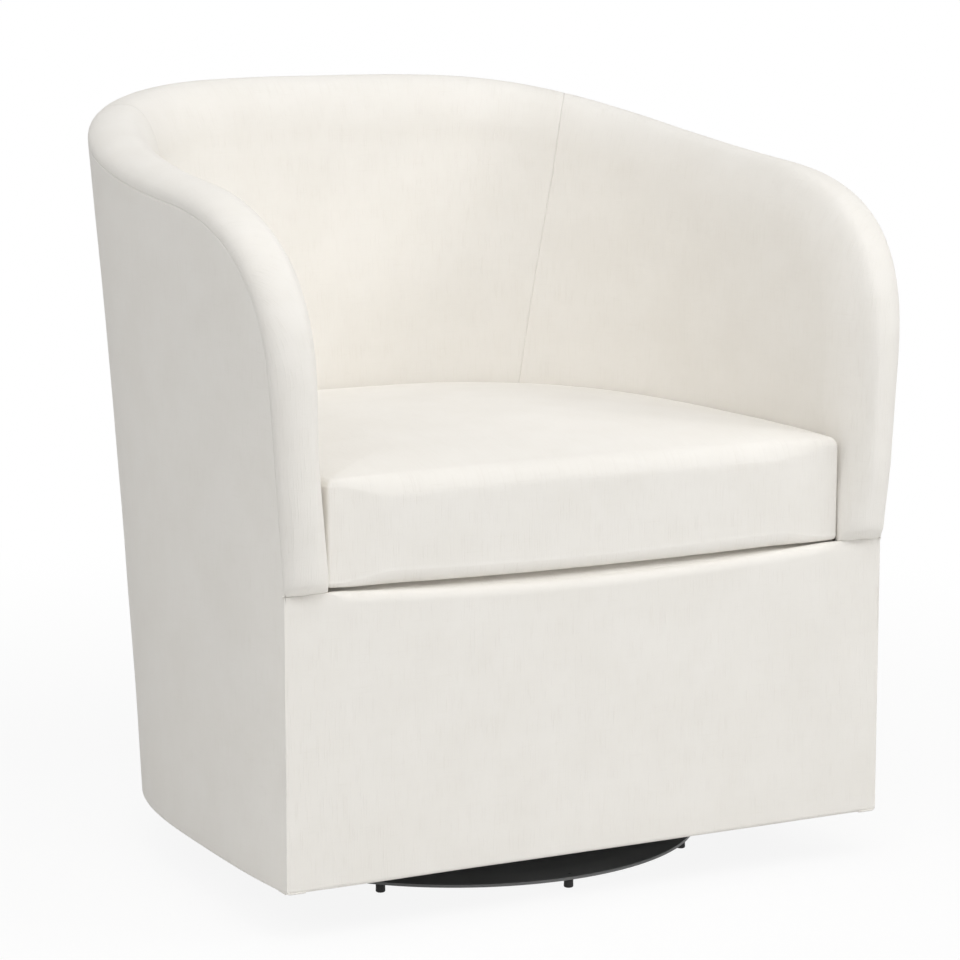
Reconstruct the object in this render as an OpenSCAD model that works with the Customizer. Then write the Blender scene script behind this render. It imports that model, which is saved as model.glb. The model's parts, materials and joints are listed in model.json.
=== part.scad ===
// Swivel barrel chair: an upholstered tub that turns on a ball bearing above a steel disc.
// The chair faces -Y. X runs across it, Y from front to back, and Z up from the floor.
// Every size is in millimetres. The body is drawn with its front panel on y = 0, and each
// node is then moved back so that the origin lies on the floor under the middle of the chair.

/* [Body outline] */
// Width of the front panel
front_w = 680; // [640:1:700]
// Widest width of the body at its lower edge
side_w_bottom = 691; // [680:1:720]
// Widest width of the body at arm height
side_w_top = 733; // [725:1:760]
// Height of the body's lower edge above the floor
skirt_z = 51; // [46:1:60]
// Height of the seam where the arms meet the front panel
seam_z = 343; // [330:1:352]
// Height over which the front of the arm bends back to the rim
bend_h = 170; // [150:1:195]
// Length over which the arm bends from upright to level
bend_run = 216; // [190:1:235]
// Height of the rim seam over the arms
arm_z = 696; // [685:1:715]
// Height of the rim seam at the middle of the back
back_z = 782; // [765:1:800]
// Depth from the front panel to the back, at the lower edge
back_y_bottom = 570; // [560:1:585]
// Depth from the front panel to the back, at arm height
back_y_top = 663; // [655:1:680]
// Length of the nearly straight run of each side behind the front panel
front_run = 112; // [100:1:125]
// How far the front panel's top edge dips between the arms
panel_dip = 9; // [4:1:12]

/* [Seat space] */
// Thickness of the arms at their front
arm_front_t = 49.5; // [48:0.5:56]
// Thickness of the arms at the height of the deck, where the seat is widest
arm_seat_t = 52; // [50:0.5:58]
// Thickness of the arms at their rim
arm_rim_t = 66.5; // [62:0.5:72]
// Thickness of the back at the height of the deck
back_seat_t = 44.5; // [42:0.5:50]
// Thickness of the back at its rim
back_rim_t = 67; // [62:1:74]

/* [Rim roll] */
// Height of the padded roll above the rim seam
roll_rise = 21.3; // [16:0.1:26]
// How far the roll swells past the rim seam
roll_bulge = 3.2; // [1:0.1:4]
// Height over which the roll swells from its pinched lower end
pinch_h = 90; // [70:1:110]
// How deep the roll's foam sits below the rim seam
roll_seat = 10; // [8:1:14]

/* [Cloth and frame] */
// Thickness of the covers
cover_t = 2; // [1.5:0.1:2.5]
// Thickness of the plywood in the walls
ply_t = 18; // [15:1:19]
// Width of the plywood under the rim
rim_ply_w = 60; // [45:1:64]
// Thickness of the liner board under the foam
board_t = 3; // [2:0.5:4]
// Thickness of the solid rails
rail_t = 22; // [18:1:24]
// Height of the bottom rails
bottom_rail_h = 60; // [45:1:70]
// Height of the seat rails
seat_rail_h = 30; // [25:1:40]
// Height of the front seat rail
seat_front_rail_h = 60; // [45:1:70]
// Width of the front posts across the chair
post_w = 40; // [35:1:44]
// Depth of the front posts
post_d = 45; // [38:1:50]
// Height of the cross rails that carry the swivel
cross_rail_h = 45; // [40:1:55]
// Width of the cross rails
cross_rail_w = 44; // [38:1:50]
// Distance between the centres of the cross rails
cross_rail_pitch = 140; // [130:1:150]
// Leg of the triangular corner blocks
block_leg = 70; // [50:1:80]
// Height of the corner blocks
block_h = 40; // [30:1:50]

/* [Seat deck] */
// Height of the deck under the cushion above the seam of the front panel
deck_rise = 3; // [1:0.5:6]
// Thickness of the deck cloth
deck_cloth_t = 1.5; // [1:0.1:2]
// Thickness of the deck's felt pad
deck_pad_t = 22; // [18:1:25]
// Depth of the padded front edge
edge_pad_d = 43; // [38:1:50]
// Thickness of the spring wire
spring_wire = 3.6; // [3:0.1:4]
// Rise of the arched springs
spring_arch = 18; // [12:1:22]
// Width of each spring
spring_w = 48; // [40:1:54]
// Distance between springs
spring_pitch = 92; // [80:1:98]
// Length of one wave of a spring
spring_wave = 58; // [50:1:70]
// Thickness of the tie wires
tie_wire = 2.4; // [2:0.1:3]

/* [Seat cushion] */
// Depth from the front panel plane to the cushion's front face
cushion_front_y = 8; // [5:1:12]
// Height of the cushion at its edges
cushion_h = 103; // [95:1:110]
// Height of the cushion's crown above its edges
cushion_crown = 24; // [16:1:30]
// Radius of the cushion's soft edges
cushion_edge_r = 13; // [9:1:16]
// Radius of the cushion's front corners in plan
cushion_corner_r = 16; // [12:1:22]
// How far the front face draws in between its corners
cushion_draw = 3; // [1:0.5:5]
// Gap between the cushion and the arms
cushion_gap = 1.5; // [1.2:0.1:2]

/* [Swivel base] */
// Radius of the base disc
disc_r = 260; // [240:1:265]
// Distance from the front panel to the swivel's axis
swivel_y = 305; // [300:1:312]
// Height of the disc's rim above the floor
disc_z = 9.8; // [8:0.1:12]
// Thickness of the disc's outer edge
disc_edge_t = 3; // [2:0.5:4]
// Wall of the disc's dome
disc_wall = 3; // [2:0.5:4]
// Width of the disc's solid rim
disc_rim_w = 18; // [16:1:24]
// Radius of the disc's flat hub
hub_r = 72; // [66:1:85]
// Number of feet
foot_count = 8; // [6:1:10]
// Radius of a foot
foot_r = 5; // [4:0.1:6]
// Distance from the disc's edge to a foot's centre
foot_inset = 8; // [7:0.5:9]
// Radius of a foot's stem
foot_stem_r = 2.5; // [2:0.1:3]
// Length of a foot's stem
foot_stem_l = 5; // [4:0.5:6]
// Diameter of the bearing balls
ball_d = 9.5; // [8:0.1:10]
// Number of bearing balls
ball_count = 12; // [8:1:16]
// Radius of the circle of balls
ball_ring_r = 45; // [40:1:48]
// Thickness of the bearing plates
race_t = 3; // [2.8:0.1:3.4]
// Depth of the ball groove in each bearing plate
groove_d = 1.9; // [1.5:0.1:2]
// Thickness of the ball cage
cage_t = 2; // [1.5:0.1:2.5]
// Thickness of the swivel plate
plate_t = 3; // [3:0.5:4]
// Distance from the bolts to the edge of the square swivel plate
plate_margin = 17; // [14:1:22]
// Radius of the spindle
spindle_r = 8; // [6:0.5:10]
// Radius of the swivel bolts
bolt_r = 3; // [2.5:0.1:3.5]
// Length of the swivel bolts inside the rails
bolt_l = 34; // [25:1:38]
// Spacing of the swivel bolts across the chair
bolt_span = 150; // [144:1:154]

/* [Hidden] */

// Colours
ivory = "#f1eee6";
foam = "#efe3b8";
felt = "#cfcabd";
pine = "#d9b98a";
birch = "#e2c798";
board = "#b79a72";
steel = "#9aa0a5";
charcoal = "#34322f";
rubber = "#1b1b1b";
black_cloth = "#26262a";

// Fits between pieces
fit_gap = 0.3;
run_gap = 0.05;
overrun = 1;
smooth = 96;
small_smooth = 32;

// Shares and powers that shape the walls, without a unit
side_lean_share = 0.39;
arm_flare_share = 0.065;
plan_power = 3.5;
seat_power = 2.7;
rim_power = 3.9;
rim_rise_power = 2.15;
bend_power = 2.57;
roll_power = 0.75;
skin_power = 0.4;
crown_power = 0.8;
disc_power = 2.5;

// The sweep round a wall is an angle: 0 where the side is widest, 90 at the middle of the back
// and 180 at the other side. The straight front run counts as front_angle more degrees.
front_angle = 20;
seam_angle = 58.5;
foot_bend_angle = 22;
upright_foot_angle = -4;
side_post_angles = [28, 33];
back_post_angles = [79, 83];

// Counts of steps along the walls
upright_steps = 4;
bend_steps = 9;
rear_steps = 12;
back_steps = 18;
roll_steps = 8;
wall_steps = 3;
skirt_steps = 4;

// Heights and places that follow from the sizes above
bend_z = arm_z - bend_h;
deck_z = seam_z + deck_rise;
plate_w = bolt_span + 2 * plate_margin;
frame_z = skirt_z + cover_t;
bottom_rail_top = frame_z + bottom_rail_h;
wall_in = cover_t + fit_gap;
ply_in = wall_in + ply_t;
board_in = ply_in + fit_gap;
foam_in = board_in + board_t + fit_gap;
pad_z = deck_z - deck_cloth_t - fit_gap;
spring_top = pad_z - deck_pad_t - fit_gap;
rail_top = spring_top - spring_arch - spring_wire - fit_gap;
wall_base_z = rail_top + fit_gap;
cover_base_z = pad_z - deck_pad_t / 2;
cushion_z = deck_z + fit_gap;
cushion_top_z = cushion_z + cushion_h;
ply_top = roll_seat + fit_gap;
ply_low = ply_top + rim_ply_w;
back_rim_y = back_y(back_z);
seat_back_y = back_y(deck_z) - back_seat_t;
seat_front_half = front_w / 2 - arm_front_t;
bend_turn = turn_at(bend_run, crest(bend_run));
seam_run = 2 + (seam_angle - bend_turn) / (90 - bend_turn);
seam_run_gap = fit_gap / back_y_bottom;
post_slack = 1;
deck_slack = 1;
origin_y = (back_rim_y - roll_rise) / 2;

// Heights of the swivel, from the frame downwards
plate_z = frame_z - plate_t;
upper_race_z = plate_z - race_t;
ball_z = upper_race_z + groove_d - ball_d / 2 - run_gap;
lower_race_z = ball_z - ball_d / 2 - run_gap + groove_d - race_t;
race_rim_w = 6;
race_r = ball_ring_r + ball_d / 2 + race_rim_w;

// Plan of the walls at a height
function lean(z) = (z - skirt_z) / (arm_z - skirt_z);
function side_half(z) = (side_w_bottom + (side_w_top - side_w_bottom)
    * (side_lean_share * lean(z) + (1 - side_lean_share) * pow(lean(z), 2))) / 2;
function front_half(z) = front_w / 2 + arm_flare_share * max(z - seam_z, 0);
function back_y(z) = back_y_bottom + (back_y_top - back_y_bottom) * lean(z);
function outer_b(z) = back_y(z) - front_run;
function inner_a(z) =
    mix(side_half(deck_z) - arm_seat_t, side_half(arm_z) - arm_rim_t, (z - deck_z) / (arm_z - deck_z));
function inner_b(z) = mix(seat_back_y, back_rim_y - back_rim_t, (z - deck_z) / (back_z - deck_z)) - front_run;
function inner_power(z) = seat_power + (rim_power - seat_power)
    * min(max((z - cushion_top_z) / (back_z - cushion_top_z), 0), 1);

// Distance from the centre of a rounded plan to its edge, in the direction of an angle
function reach(a, b, power, turn) =
    pow(pow(cos(turn) / a, power) + pow(sin(turn) / b, power), -1 / power);

// A point on a plan with half width a, depth b behind the front run, and front half width f
function plan_point(a, b, power, f, turn) = turn < 0
    ? let (y = front_run * (1 + turn / front_angle), rest = 1 - y / front_run)
        [a - (a - f) * rest * rest, y]
    : let (r = reach(a, b, power, turn)) [r * cos(turn), front_run + r * sin(turn)];

// Points of the wall: d is the depth behind its outside, e the depth behind its inside
function outer_point(turn, z, d = 0) = turn > 90
    ? let (p = outer_point(180 - turn, z, d)) [-p[0], p[1], z]
    : let (p = plan_point(side_half(z) - d, outer_b(z) - d, plan_power, front_half(z) - d, turn))
        [p[0], p[1], z];
function inner_point(turn, z, e = 0) = turn > 90
    ? let (p = inner_point(180 - turn, z, e)) [-p[0], p[1], z]
    : let (p = plan_point(inner_a(z) + e, inner_b(z) + e, inner_power(z), seat_front_half + e, turn))
        [p[0], p[1], z];

// Half width of the outside at a depth y behind the front run, and the sweep angle there
function half_width_at(y, z, d = 0) = (side_half(z) - d)
    * pow(1 - pow(max(y - front_run, 0) / (outer_b(z) - d), plan_power), 1 / plan_power);
function turn_at(y, z) = y < front_run ? front_angle * (y / front_run - 1)
    : atan2(y - front_run, half_width_at(y, z));

// Depth of the outside at a half width x, at a height and a depth d behind it
function depth_at(x, z, d = 0) = front_run + (outer_b(z) - d)
    * pow(1 - pow(abs(x) / (side_half(z) - d), plan_power), 1 / plan_power);

// The rim seam: run 0 to 1 goes up the arm's front, 1 to 2 round its bend, 2 to 3 to the middle
// of the back, and 3 to 6 the same way down the other side. Each point is [sweep angle, height].
function crest(y) = arm_z + (back_z - arm_z) * pow(max(y, 0) / back_rim_y, rim_rise_power);
function rear_rim_z(turn) = let (z = crest(outer_point(turn, arm_z)[1])) crest(outer_point(turn, z)[1]);
function rim_at(run, inset = 0) = run > 3
    ? let (p = rim_at(6 - run, inset)) [180 - p[0], p[1]]
    : run < 1 ? let (z = seam_z + (bend_z - seam_z) * run) [turn_at(inset, z), z]
    : run < 2 ? let (a = 90 * (run - 1), y = inset + (bend_run - inset) * (1 - pow(cos(a), 2 / bend_power)),
        z = bend_z + (crest(y) - inset - bend_z) * pow(sin(a), 2 / bend_power)) [turn_at(y, z), z]
    : let (turn = bend_turn + (90 - bend_turn) * (run - 2)) [turn, rear_rim_z(turn) - inset];

// Direction in which the roll stands proud of the rim seam
function rim_up(run) = let (r = run > 3 ? 6 - run : run, a = 90 * (r - 1), k = 2 - 2 / bend_power)
    r < 1 ? [0, -1, 0] : r >= 2 ? [0, 0, 1]
    : unit([0, -pow(cos(a), k) / bend_run, pow(sin(a), k) / (crest(bend_run) - bend_z)]);
function unit(v) = v / norm(v);
function mix(p, q, t) = p + (q - p) * t;
function ease(t) = let (s = min(max(t, 0), 1)) s * s * (3 - 2 * s);

// A point on the roll: angle 0 at the outer seam, 180 at the inside edge, skin below its surface
function roll_point(run, angle, skin = 0) = let (p = rim_at(run), swell = ease((p[1] - seam_z) / pinch_h),
    o = outer_point(p[0], p[1], skin), i = inner_point(p[0], p[1], skin),
    rise = roll_rise * swell * pow(sin(angle), roll_power) - skin * pow(sin(angle), skin_power))
    mix(o, i, (1 - cos(angle)) / 2) + rim_up(run) * rise
    + unit(o - i) * roll_bulge * swell * sin(min(2 * angle, 180));

// Lines that go down the inside from the rim seam: square to the rim for the width of the plywood,
// then on to a foot. A place is [sweep angle, height].
function foot_turn(run) = run > 3 ? 180 - foot_turn(6 - run)
    : lookup(run, [[0, turn_at(ply_low, seam_z)], [1, upright_foot_angle], [2, foot_bend_angle], [3, 90]]);
function line_share(run, foot_z) = let (z = rim_at(run, ply_low)[1]) (z - foot_z) / (z - wall_base_z);
function line_down(run, foot_z, t) =
    mix(rim_at(run, ply_low), [foot_turn(run), wall_base_z], t * line_share(run, foot_z));
function line_rows(run, top, foot_z) = concat([rim_at(run, top)],
    [for (r = [0 : wall_steps]) line_down(run, foot_z, r / wall_steps)]);

// Runs of the rim seam from one end of a piece to the other
function runs_between(a, b, steps) = [for (i = [0 : steps]) a + (b - a) * i / steps];
side_runs = concat([for (i = [0 : bend_steps - 1]) 1 + i / bend_steps],
    runs_between(2, seam_run, rear_steps));
arm_runs = concat([for (i = [0 : upright_steps - 1]) i / upright_steps], side_runs);
back_runs = runs_between(seam_run + seam_run_gap, 6 - seam_run - seam_run_gap, back_steps);

// Two triangles between side j of section i and the same side of section k, of n points each
function strip(i, j, k, n, turned = false) =
    let (a = i * n + j, b = i * n + (j + 1) % n, c = k * n + (j + 1) % n, d = k * n + j)
    turned ? [[a, d, b], [b, d, c]] : [[a, c, b], [a, d, c]];
function cap(base, n, turned) = [for (j = [0 : n / 2 - 2])
    let (a = base + j, b = base + j + 1, c = base + n - 2 - j, d = base + n - 1 - j)
    each turned ? [[a, c, b], [a, d, c]] : [[a, b, c], [a, c, d]]];

// A bar that joins a row of like sections, each with an even number of points. Both halves of a
// section are split alike, and so are both halves of an even bar, so that the faces of neighbouring
// layers run parallel.
module bar(sections, even = false) {
    n = len(sections[0]);
    last = len(sections) - 1;
    faces = concat(
        [for (i = [0 : last - 1], j = [0 : n - 1])
            each strip(i, j, i + 1, n, (j >= n / 2) != (even && i >= last / 2))],
        cap(0, n, false),
        cap(last * n, n, true));
    polyhedron([for (s = sections) each s], faces, convexity = 6);
}

// A ring of sections that closes on itself
module closed_bar(sections) {
    n = len(sections[0]);
    m = len(sections);
    polyhedron([for (s = sections) each s],
        [for (i = [0 : m - 1], j = [0 : n - 1]) each strip(i, j, (i + 1) % m, n)], convexity = 6);
}

// A body of stacked rings that ends in a point below and a point above
module ring_body(low, rings, high) {
    n = len(rings[0]);
    m = len(rings);
    faces = concat(
        [for (i = [0 : m - 2], j = [0 : n - 1]) each strip(i, j, i + 1, n)],
        [for (j = [0 : n - 1]) [m * n, j, (j + 1) % n]],
        [for (j = [0 : n - 1]) [m * n + 1, (m - 1) * n + (j + 1) % n, (m - 1) * n + j]]);
    polyhedron(concat([for (r = rings) each r], [low, high]), faces, convexity = 4);
}

// A row of points and its partner row make the closed section of a sheet
function loop(front, back) = concat(front, reversed(back));
function reversed(list) = [for (i = [len(list) - 1 : -1 : 0]) list[i]];

// Outlines in plan
rear_runs = concat(side_runs, back_runs, [for (run = reversed(side_runs)) 6 - run]);
side_turns = [for (run = side_runs) rim_at(run)[0]];
back_turns = [for (run = back_runs) rim_at(run)[0]];
function outline(z, d) = [for (run = rear_runs)
    let (p = outer_point(rim_at(run)[0], z, d)) [p[0], max(p[1], d)]];
function deck_outline(z, y) = [for (run = rear_runs)
    let (turn = run < 2 || run > 4 ? rim_at(run)[0] : foot_turn(run), p = inner_point(turn, z, -deck_slack))
        [p[0], max(p[1], y)]];

// An upright rail behind the wall, which stays inside it at its foot and at its top
function rail_row(low, high, d, turns) = let (
    a = min(side_half(low), side_half(high)) - d,
    b = min(outer_b(low), outer_b(high)) - d,
    f = min(front_half(low), front_half(high)) - d)
    [for (t = turns) t > 90 ? let (p = plan_point(a, b, plan_power, f, 180 - t)) [-p[0], p[1]]
        : plan_point(a, b, plan_power, f, t)];
module wall_rail(low, h, d, turns) {
    translate([0, 0, low]) linear_extrude(h)
        polygon(loop(rail_row(low, low + h, d, turns), rail_row(low, low + h, d + rail_t, turns)));
}
function turns_from(start) = concat([start], [for (t = side_turns) if (t > start) t]);

// A box from its lowest to its highest corner
module block(low, high) {
    translate(low) cube(high - low);
}

// A round solid that stands at a height, and a running hole through a wall that starts at a height
module drum(r, z, h, sides = smooth) {
    translate([0, 0, z]) cylinder(r = r, h = h, $fn = sides);
}
module bore(r, z, h, sides = smooth) {
    drum(r + run_gap, z - overrun, h + 2 * overrun, sides);
}

module placed() {
    translate([0, -origin_y, 0]) children();
}
module on_swivel(z = 0) {
    translate([0, swivel_y - origin_y, z]) children();
}
module other_side() {
    mirror([1, 0, 0]) children();
}

// Base
disc_foot_r = disc_r - foot_inset;
disc_rise = lower_race_z - disc_z - disc_edge_t;
disc_steps = 10;
function dome_z(r) = disc_z + disc_edge_t
    + disc_rise * (1 - pow(max(r - hub_r, 0) / (disc_r - hub_r), disc_power));

module base_disc() {
    dome_r = disc_r - hub_r;
    inside_r = dome_r - disc_rim_w;
    color(charcoal) on_swivel() difference() {
        rotate_extrude($fn = smooth) polygon(concat(
            [[0, dome_z(0) - disc_wall], [0, dome_z(0)]],
            [for (i = [0 : disc_steps]) let (r = hub_r + dome_r * i / disc_steps) [r, dome_z(r)]],
            [[disc_r, disc_z], [disc_r - disc_rim_w, disc_z]],
            [for (i = [disc_steps - 1 : -1 : 0])
                let (r = hub_r + inside_r * i / disc_steps) [r, dome_z(r) - disc_wall]]));
        bore(spindle_r, dome_z(0) - disc_wall, disc_wall);
        at_feet() bore(foot_stem_r, disc_z - fit_gap, foot_stem_l + fit_gap - overrun, small_smooth);
        at_rivets() bore(rivet_r, dome_z(0) - disc_wall, disc_wall, small_smooth);
    }
}

foot_bevel = 1;
module at_feet() {
    for (i = [0 : foot_count - 1])
        rotate(360 / foot_count * i - 90) translate([disc_foot_r, 0, 0]) children();
}
module rubber_feet() {
    color(rubber) on_swivel() at_feet() rotate_extrude($fn = small_smooth)
        polygon([[0, 0], [foot_r - foot_bevel, 0], [foot_r, foot_bevel], [foot_r, disc_z],
            [foot_stem_r, disc_z], [foot_stem_r, disc_z + foot_stem_l], [0, disc_z + foot_stem_l]]);
}

rivet_r = 3;
rivet_head_r = 5;
rivet_head_t = 1.6;
rivet_ring_r = (spindle_r + ball_ring_r) / 2;
rivet_angles = [0, 90, 180, 270];
groove_r = ball_d / 2 + run_gap;

module at_rivets() {
    for (a = rivet_angles)
        rotate(a) translate([rivet_ring_r, 0, 0]) children();
}
module race_blank(z) {
    difference() {
        drum(race_r, z, race_t);
        bore(spindle_r, z, race_t);
        translate([0, 0, ball_z]) rotate_extrude($fn = smooth)
            translate([ball_ring_r, 0]) circle(r = groove_r, $fn = small_smooth);
    }
}

module lower_race() {
    color(steel) on_swivel() difference() {
        race_blank(lower_race_z);
        at_rivets() bore(rivet_r, lower_race_z, race_t, small_smooth);
    }
}

spindle_head_w = 6;
spindle_head_r = spindle_r + spindle_head_w;
spindle_head_t = 3;
module spindle() {
    low = lower_race_z - disc_wall - spindle_head_t;
    high = frame_z + fit_gap;
    color(steel) on_swivel() {
        drum(spindle_head_r, low, spindle_head_t);
        drum(spindle_r, low, high + spindle_head_t - low);
        drum(spindle_head_r, high, spindle_head_t);
    }
}

module race_rivets() {
    low = lower_race_z - disc_wall - rivet_head_t;
    high = lower_race_z + race_t;
    color(steel) on_swivel() at_rivets() {
        drum(rivet_head_r, low, rivet_head_t, small_smooth);
        drum(rivet_r, low, high + rivet_head_t - low, small_smooth);
        drum(rivet_head_r, high, rivet_head_t, small_smooth);
    }
}

// Ball bearing
cage_lip = 4.3;
module at_balls() {
    for (i = [0 : ball_count - 1])
        rotate(360 / ball_count * i) translate([ball_ring_r, 0, 0]) children();
}
module ball_cage() {
    cage_rim = groove_r + cage_lip;
    cage_z = ball_z - cage_t / 2;
    color(steel) on_swivel() difference() {
        drum(ball_ring_r + cage_rim, cage_z, cage_t);
        drum(ball_ring_r - cage_rim, cage_z - overrun, cage_t + 2 * overrun);
        at_balls() bore(ball_d / 2, cage_z, cage_t, small_smooth);
    }
}

module bearing_balls() {
    color(steel) on_swivel(ball_z) at_balls() sphere(r = ball_d / 2, $fn = small_smooth);
}

module upper_race() {
    color(steel) on_swivel() race_blank(upper_race_z);
}

module at_bolts() {
    for (x = [-bolt_span / 2, bolt_span / 2], y = [-cross_rail_pitch / 2, cross_rail_pitch / 2])
        translate([x, y, 0]) children();
}

module swivel_plate() {
    color(steel) on_swivel() difference() {
        translate([-plate_w / 2, -plate_w / 2, plate_z]) cube([plate_w, plate_w, plate_t]);
        bore(spindle_r, plate_z, plate_t);
        at_bolts() bore(bolt_r, plate_z, plate_t, small_smooth);
    }
}

bolt_head_w = 2.6;
bolt_head_t = 3.6;
module swivel_bolts() {
    color(steel) on_swivel(plate_z - bolt_head_t) at_bolts() {
        cylinder(r = bolt_r + bolt_head_w, h = bolt_head_t, $fn = 6);
        cylinder(r = bolt_r, h = bolt_head_t + plate_t + bolt_l, $fn = small_smooth);
    }
}

// Wooden frame
module cross_rail(side) {
    y = swivel_y + side * cross_rail_pitch / 2;
    front = y - cross_rail_w / 2;
    back = y + cross_rail_w / 2;
    half = half_width_at(back, frame_z, wall_in + rail_t) - fit_gap;
    color(pine) placed() difference() {
        block([-half, front, frame_z], [half, back, frame_z + cross_rail_h]);
        for (x = [-bolt_span / 2, bolt_span / 2]) translate([x, y, 0])
            drum(bolt_r + run_gap, frame_z - overrun, bolt_l + fit_gap + overrun, small_smooth);
        translate([0, swivel_y, 0])
            drum(spindle_head_r + 2 * fit_gap, frame_z - overrun, spindle_head_t + 2 * fit_gap + overrun);
    }
}
module cross_rail_front() {
    cross_rail(-1);
}
module cross_rail_back() {
    cross_rail(1);
}

rail_front_y = wall_in + rail_t;
module bottom_front_rail() {
    half = front_half(frame_z) - wall_in;
    color(pine) placed() block([-half, wall_in, frame_z], [half, rail_front_y, bottom_rail_top]);
}
module bottom_side_rail() {
    start = turn_at(rail_front_y + fit_gap, frame_z);
    color(birch) placed() wall_rail(frame_z, bottom_rail_h, wall_in, turns_from(start));
}
module bottom_right_rail() {
    bottom_side_rail();
}
module bottom_left_rail() {
    other_side() bottom_side_rail();
}
module bottom_back_rail() {
    color(birch) placed() wall_rail(frame_z, bottom_rail_h, wall_in, back_turns);
}

module corner_block() {
    x = front_half(frame_z) - rail_front_y - fit_gap;
    y = rail_front_y + fit_gap;
    translate([0, 0, frame_z]) linear_extrude(block_h)
        polygon([[x, y], [x, y + block_leg], [x - block_leg, y]]);
}
module corner_blocks() {
    color(pine) placed() {
        corner_block();
        other_side() corner_block();
    }
}

post_out = front_half(seam_z) - wall_in;
module front_post() {
    low = bottom_rail_top + fit_gap;
    color(pine) placed()
        block([post_out - post_w, wall_in, low], [post_out, wall_in + post_d, rail_top]);
}
module front_post_right() {
    front_post();
}
module front_post_left() {
    other_side() front_post();
}

post_steps = 4;
module wall_post(turns) {
    low = bottom_rail_top + fit_gap;
    high = min(rear_rim_z(turns[0]), rear_rim_z(turns[1])) - roll_seat - rim_ply_w - 2 * fit_gap;
    color(pine) placed() bar([for (i = [0 : post_steps]) let (z = mix(low, high, i / post_steps))
        [outer_point(turns[0], z, wall_in + post_slack), outer_point(turns[1], z, wall_in + post_slack),
            outer_point(turns[1], z, ply_in - post_slack), outer_point(turns[0], z, ply_in - post_slack)]]);
}
module side_post_right() {
    wall_post(side_post_angles);
}
module side_post_left() {
    other_side() wall_post(side_post_angles);
}
module back_post_right() {
    wall_post(back_post_angles);
}
module back_post_left() {
    other_side() wall_post(back_post_angles);
}

seat_rail_z = rail_top - seat_rail_h;
module seat_front_rail() {
    half = post_out - post_w - fit_gap;
    color(pine) placed()
        block([-half, wall_in, rail_top - seat_front_rail_h], [half, rail_front_y, rail_top]);
}
module seat_side_rail() {
    start = turn_at(wall_in + post_d + fit_gap, seat_rail_z);
    color(birch) placed() wall_rail(seat_rail_z, seat_rail_h, board_in, turns_from(start));
}
module seat_right_rail() {
    seat_side_rail();
}
module seat_left_rail() {
    other_side() seat_side_rail();
}
module seat_back_rail() {
    color(birch) placed() wall_rail(seat_rail_z, seat_rail_h, board_in, back_turns);
}

// The plywood below the roll follows the rim seam
function ply_section(run) = let (top = rim_at(run, ply_top), low = rim_at(run, ply_low))
    [outer_point(top[0], top[1], wall_in), outer_point(low[0], low[1], wall_in),
        outer_point(low[0], low[1], ply_in), outer_point(top[0], top[1], ply_in)];
arm_frame_base_run = (rail_top + fit_gap - seam_z) / (bend_z - seam_z);
module arm_frame() {
    color(birch) placed() bar([for (run = concat([arm_frame_base_run], arm_runs)) ply_section(run)]);
}
module arm_frame_right() {
    arm_frame();
}
module arm_frame_left() {
    other_side() arm_frame();
}
module back_top_rail() {
    color(birch) placed() bar([for (run = back_runs) ply_section(run)], true);
}

// Springs run from the front seat rail to the back seat rail
spring_count = 5;
spring_sides = 6;
wave_steps = 6;
look_share = 0.0025;
spring_start_y = wall_in + rail_t / 2;
function spring_x(i) = (i - (spring_count - 1) / 2) * spring_pitch;
function spring_end_y(x) = depth_at(abs(x) + spring_w / 2, seat_rail_z, board_in + rail_t / 2);
function spring_centre(x0, t) = let (length = spring_end_y(x0) - spring_start_y,
    waves = round(length / spring_wave), steps = waves * wave_steps,
    edge = max(0, min(1, t * steps - 1, (1 - t) * steps - 1)))
    [x0 + edge * spring_w / 2 * sin(360 * waves * t), spring_start_y + length * t,
        rail_top + fit_gap + spring_wire / 2 + spring_arch * sin(180 * t)];
function spring_ring(x0, t) = [for (j = [0 : spring_sides - 1]) let (a = -360 * j / spring_sides)
    spring_centre(x0, t) + ([0, 0, sin(a)] + spring_across(x0, t) * cos(a)) * spring_wire / 2];
function spring_across(x0, t) = let (step = look_share,
    d = spring_centre(x0, min(t + step, 1)) - spring_centre(x0, max(t - step, 0))) unit([d[1], -d[0], 0]);

module seat_springs() {
    color(steel) placed() for (i = [0 : spring_count - 1]) {
        x = spring_x(i);
        steps = round((spring_end_y(x) - spring_start_y) / spring_wave) * wave_steps;
        bar([for (k = [0 : steps]) spring_ring(x, k / steps)]);
    }
}

clip_w = 16;
clip_d = 9;
clip_wall = 2;
clip_top = rail_top + spring_wire + 3 * fit_gap + clip_wall;
module clip(x, y) {
    difference() {
        block([x - clip_w / 2, y - clip_d / 2, rail_top], [x + clip_w / 2, y + clip_d / 2, clip_top]);
        block([x - spring_wire - fit_gap, y - clip_d / 2 - overrun, rail_top - overrun],
            [x + spring_wire + fit_gap, y + clip_d / 2 + overrun, clip_top - clip_wall]);
    }
}
module spring_clips() {
    color(steel) placed() for (i = [0 : spring_count - 1]) {
        clip(spring_x(i), spring_start_y + clip_d / 2);
        clip(spring_x(i), spring_end_y(spring_x(i)) - clip_d / 2);
    }
}

tie_places_share = [0.34, 0.67];
function spring_rise(i, y) =
    spring_arch * sin(180 * (y - spring_start_y) / (spring_end_y(spring_x(i)) - spring_start_y));
function least_rise(y) = min([for (i = [0 : spring_count - 1]) spring_rise(i, y)]);
module tie_wires() {
    half = (spring_count - 1) / 2 * spring_pitch + spring_w / 2;
    length = spring_end_y(0) - spring_start_y;
    color(steel) placed() for (share = tie_places_share) {
        y = spring_start_y + length * share;
        translate([-half, y, rail_top + least_rise(y) - tie_wire / 2])
            rotate([0, 90, 0]) cylinder(r = tie_wire / 2, h = 2 * half, $fn = small_smooth);
    }
}

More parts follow.
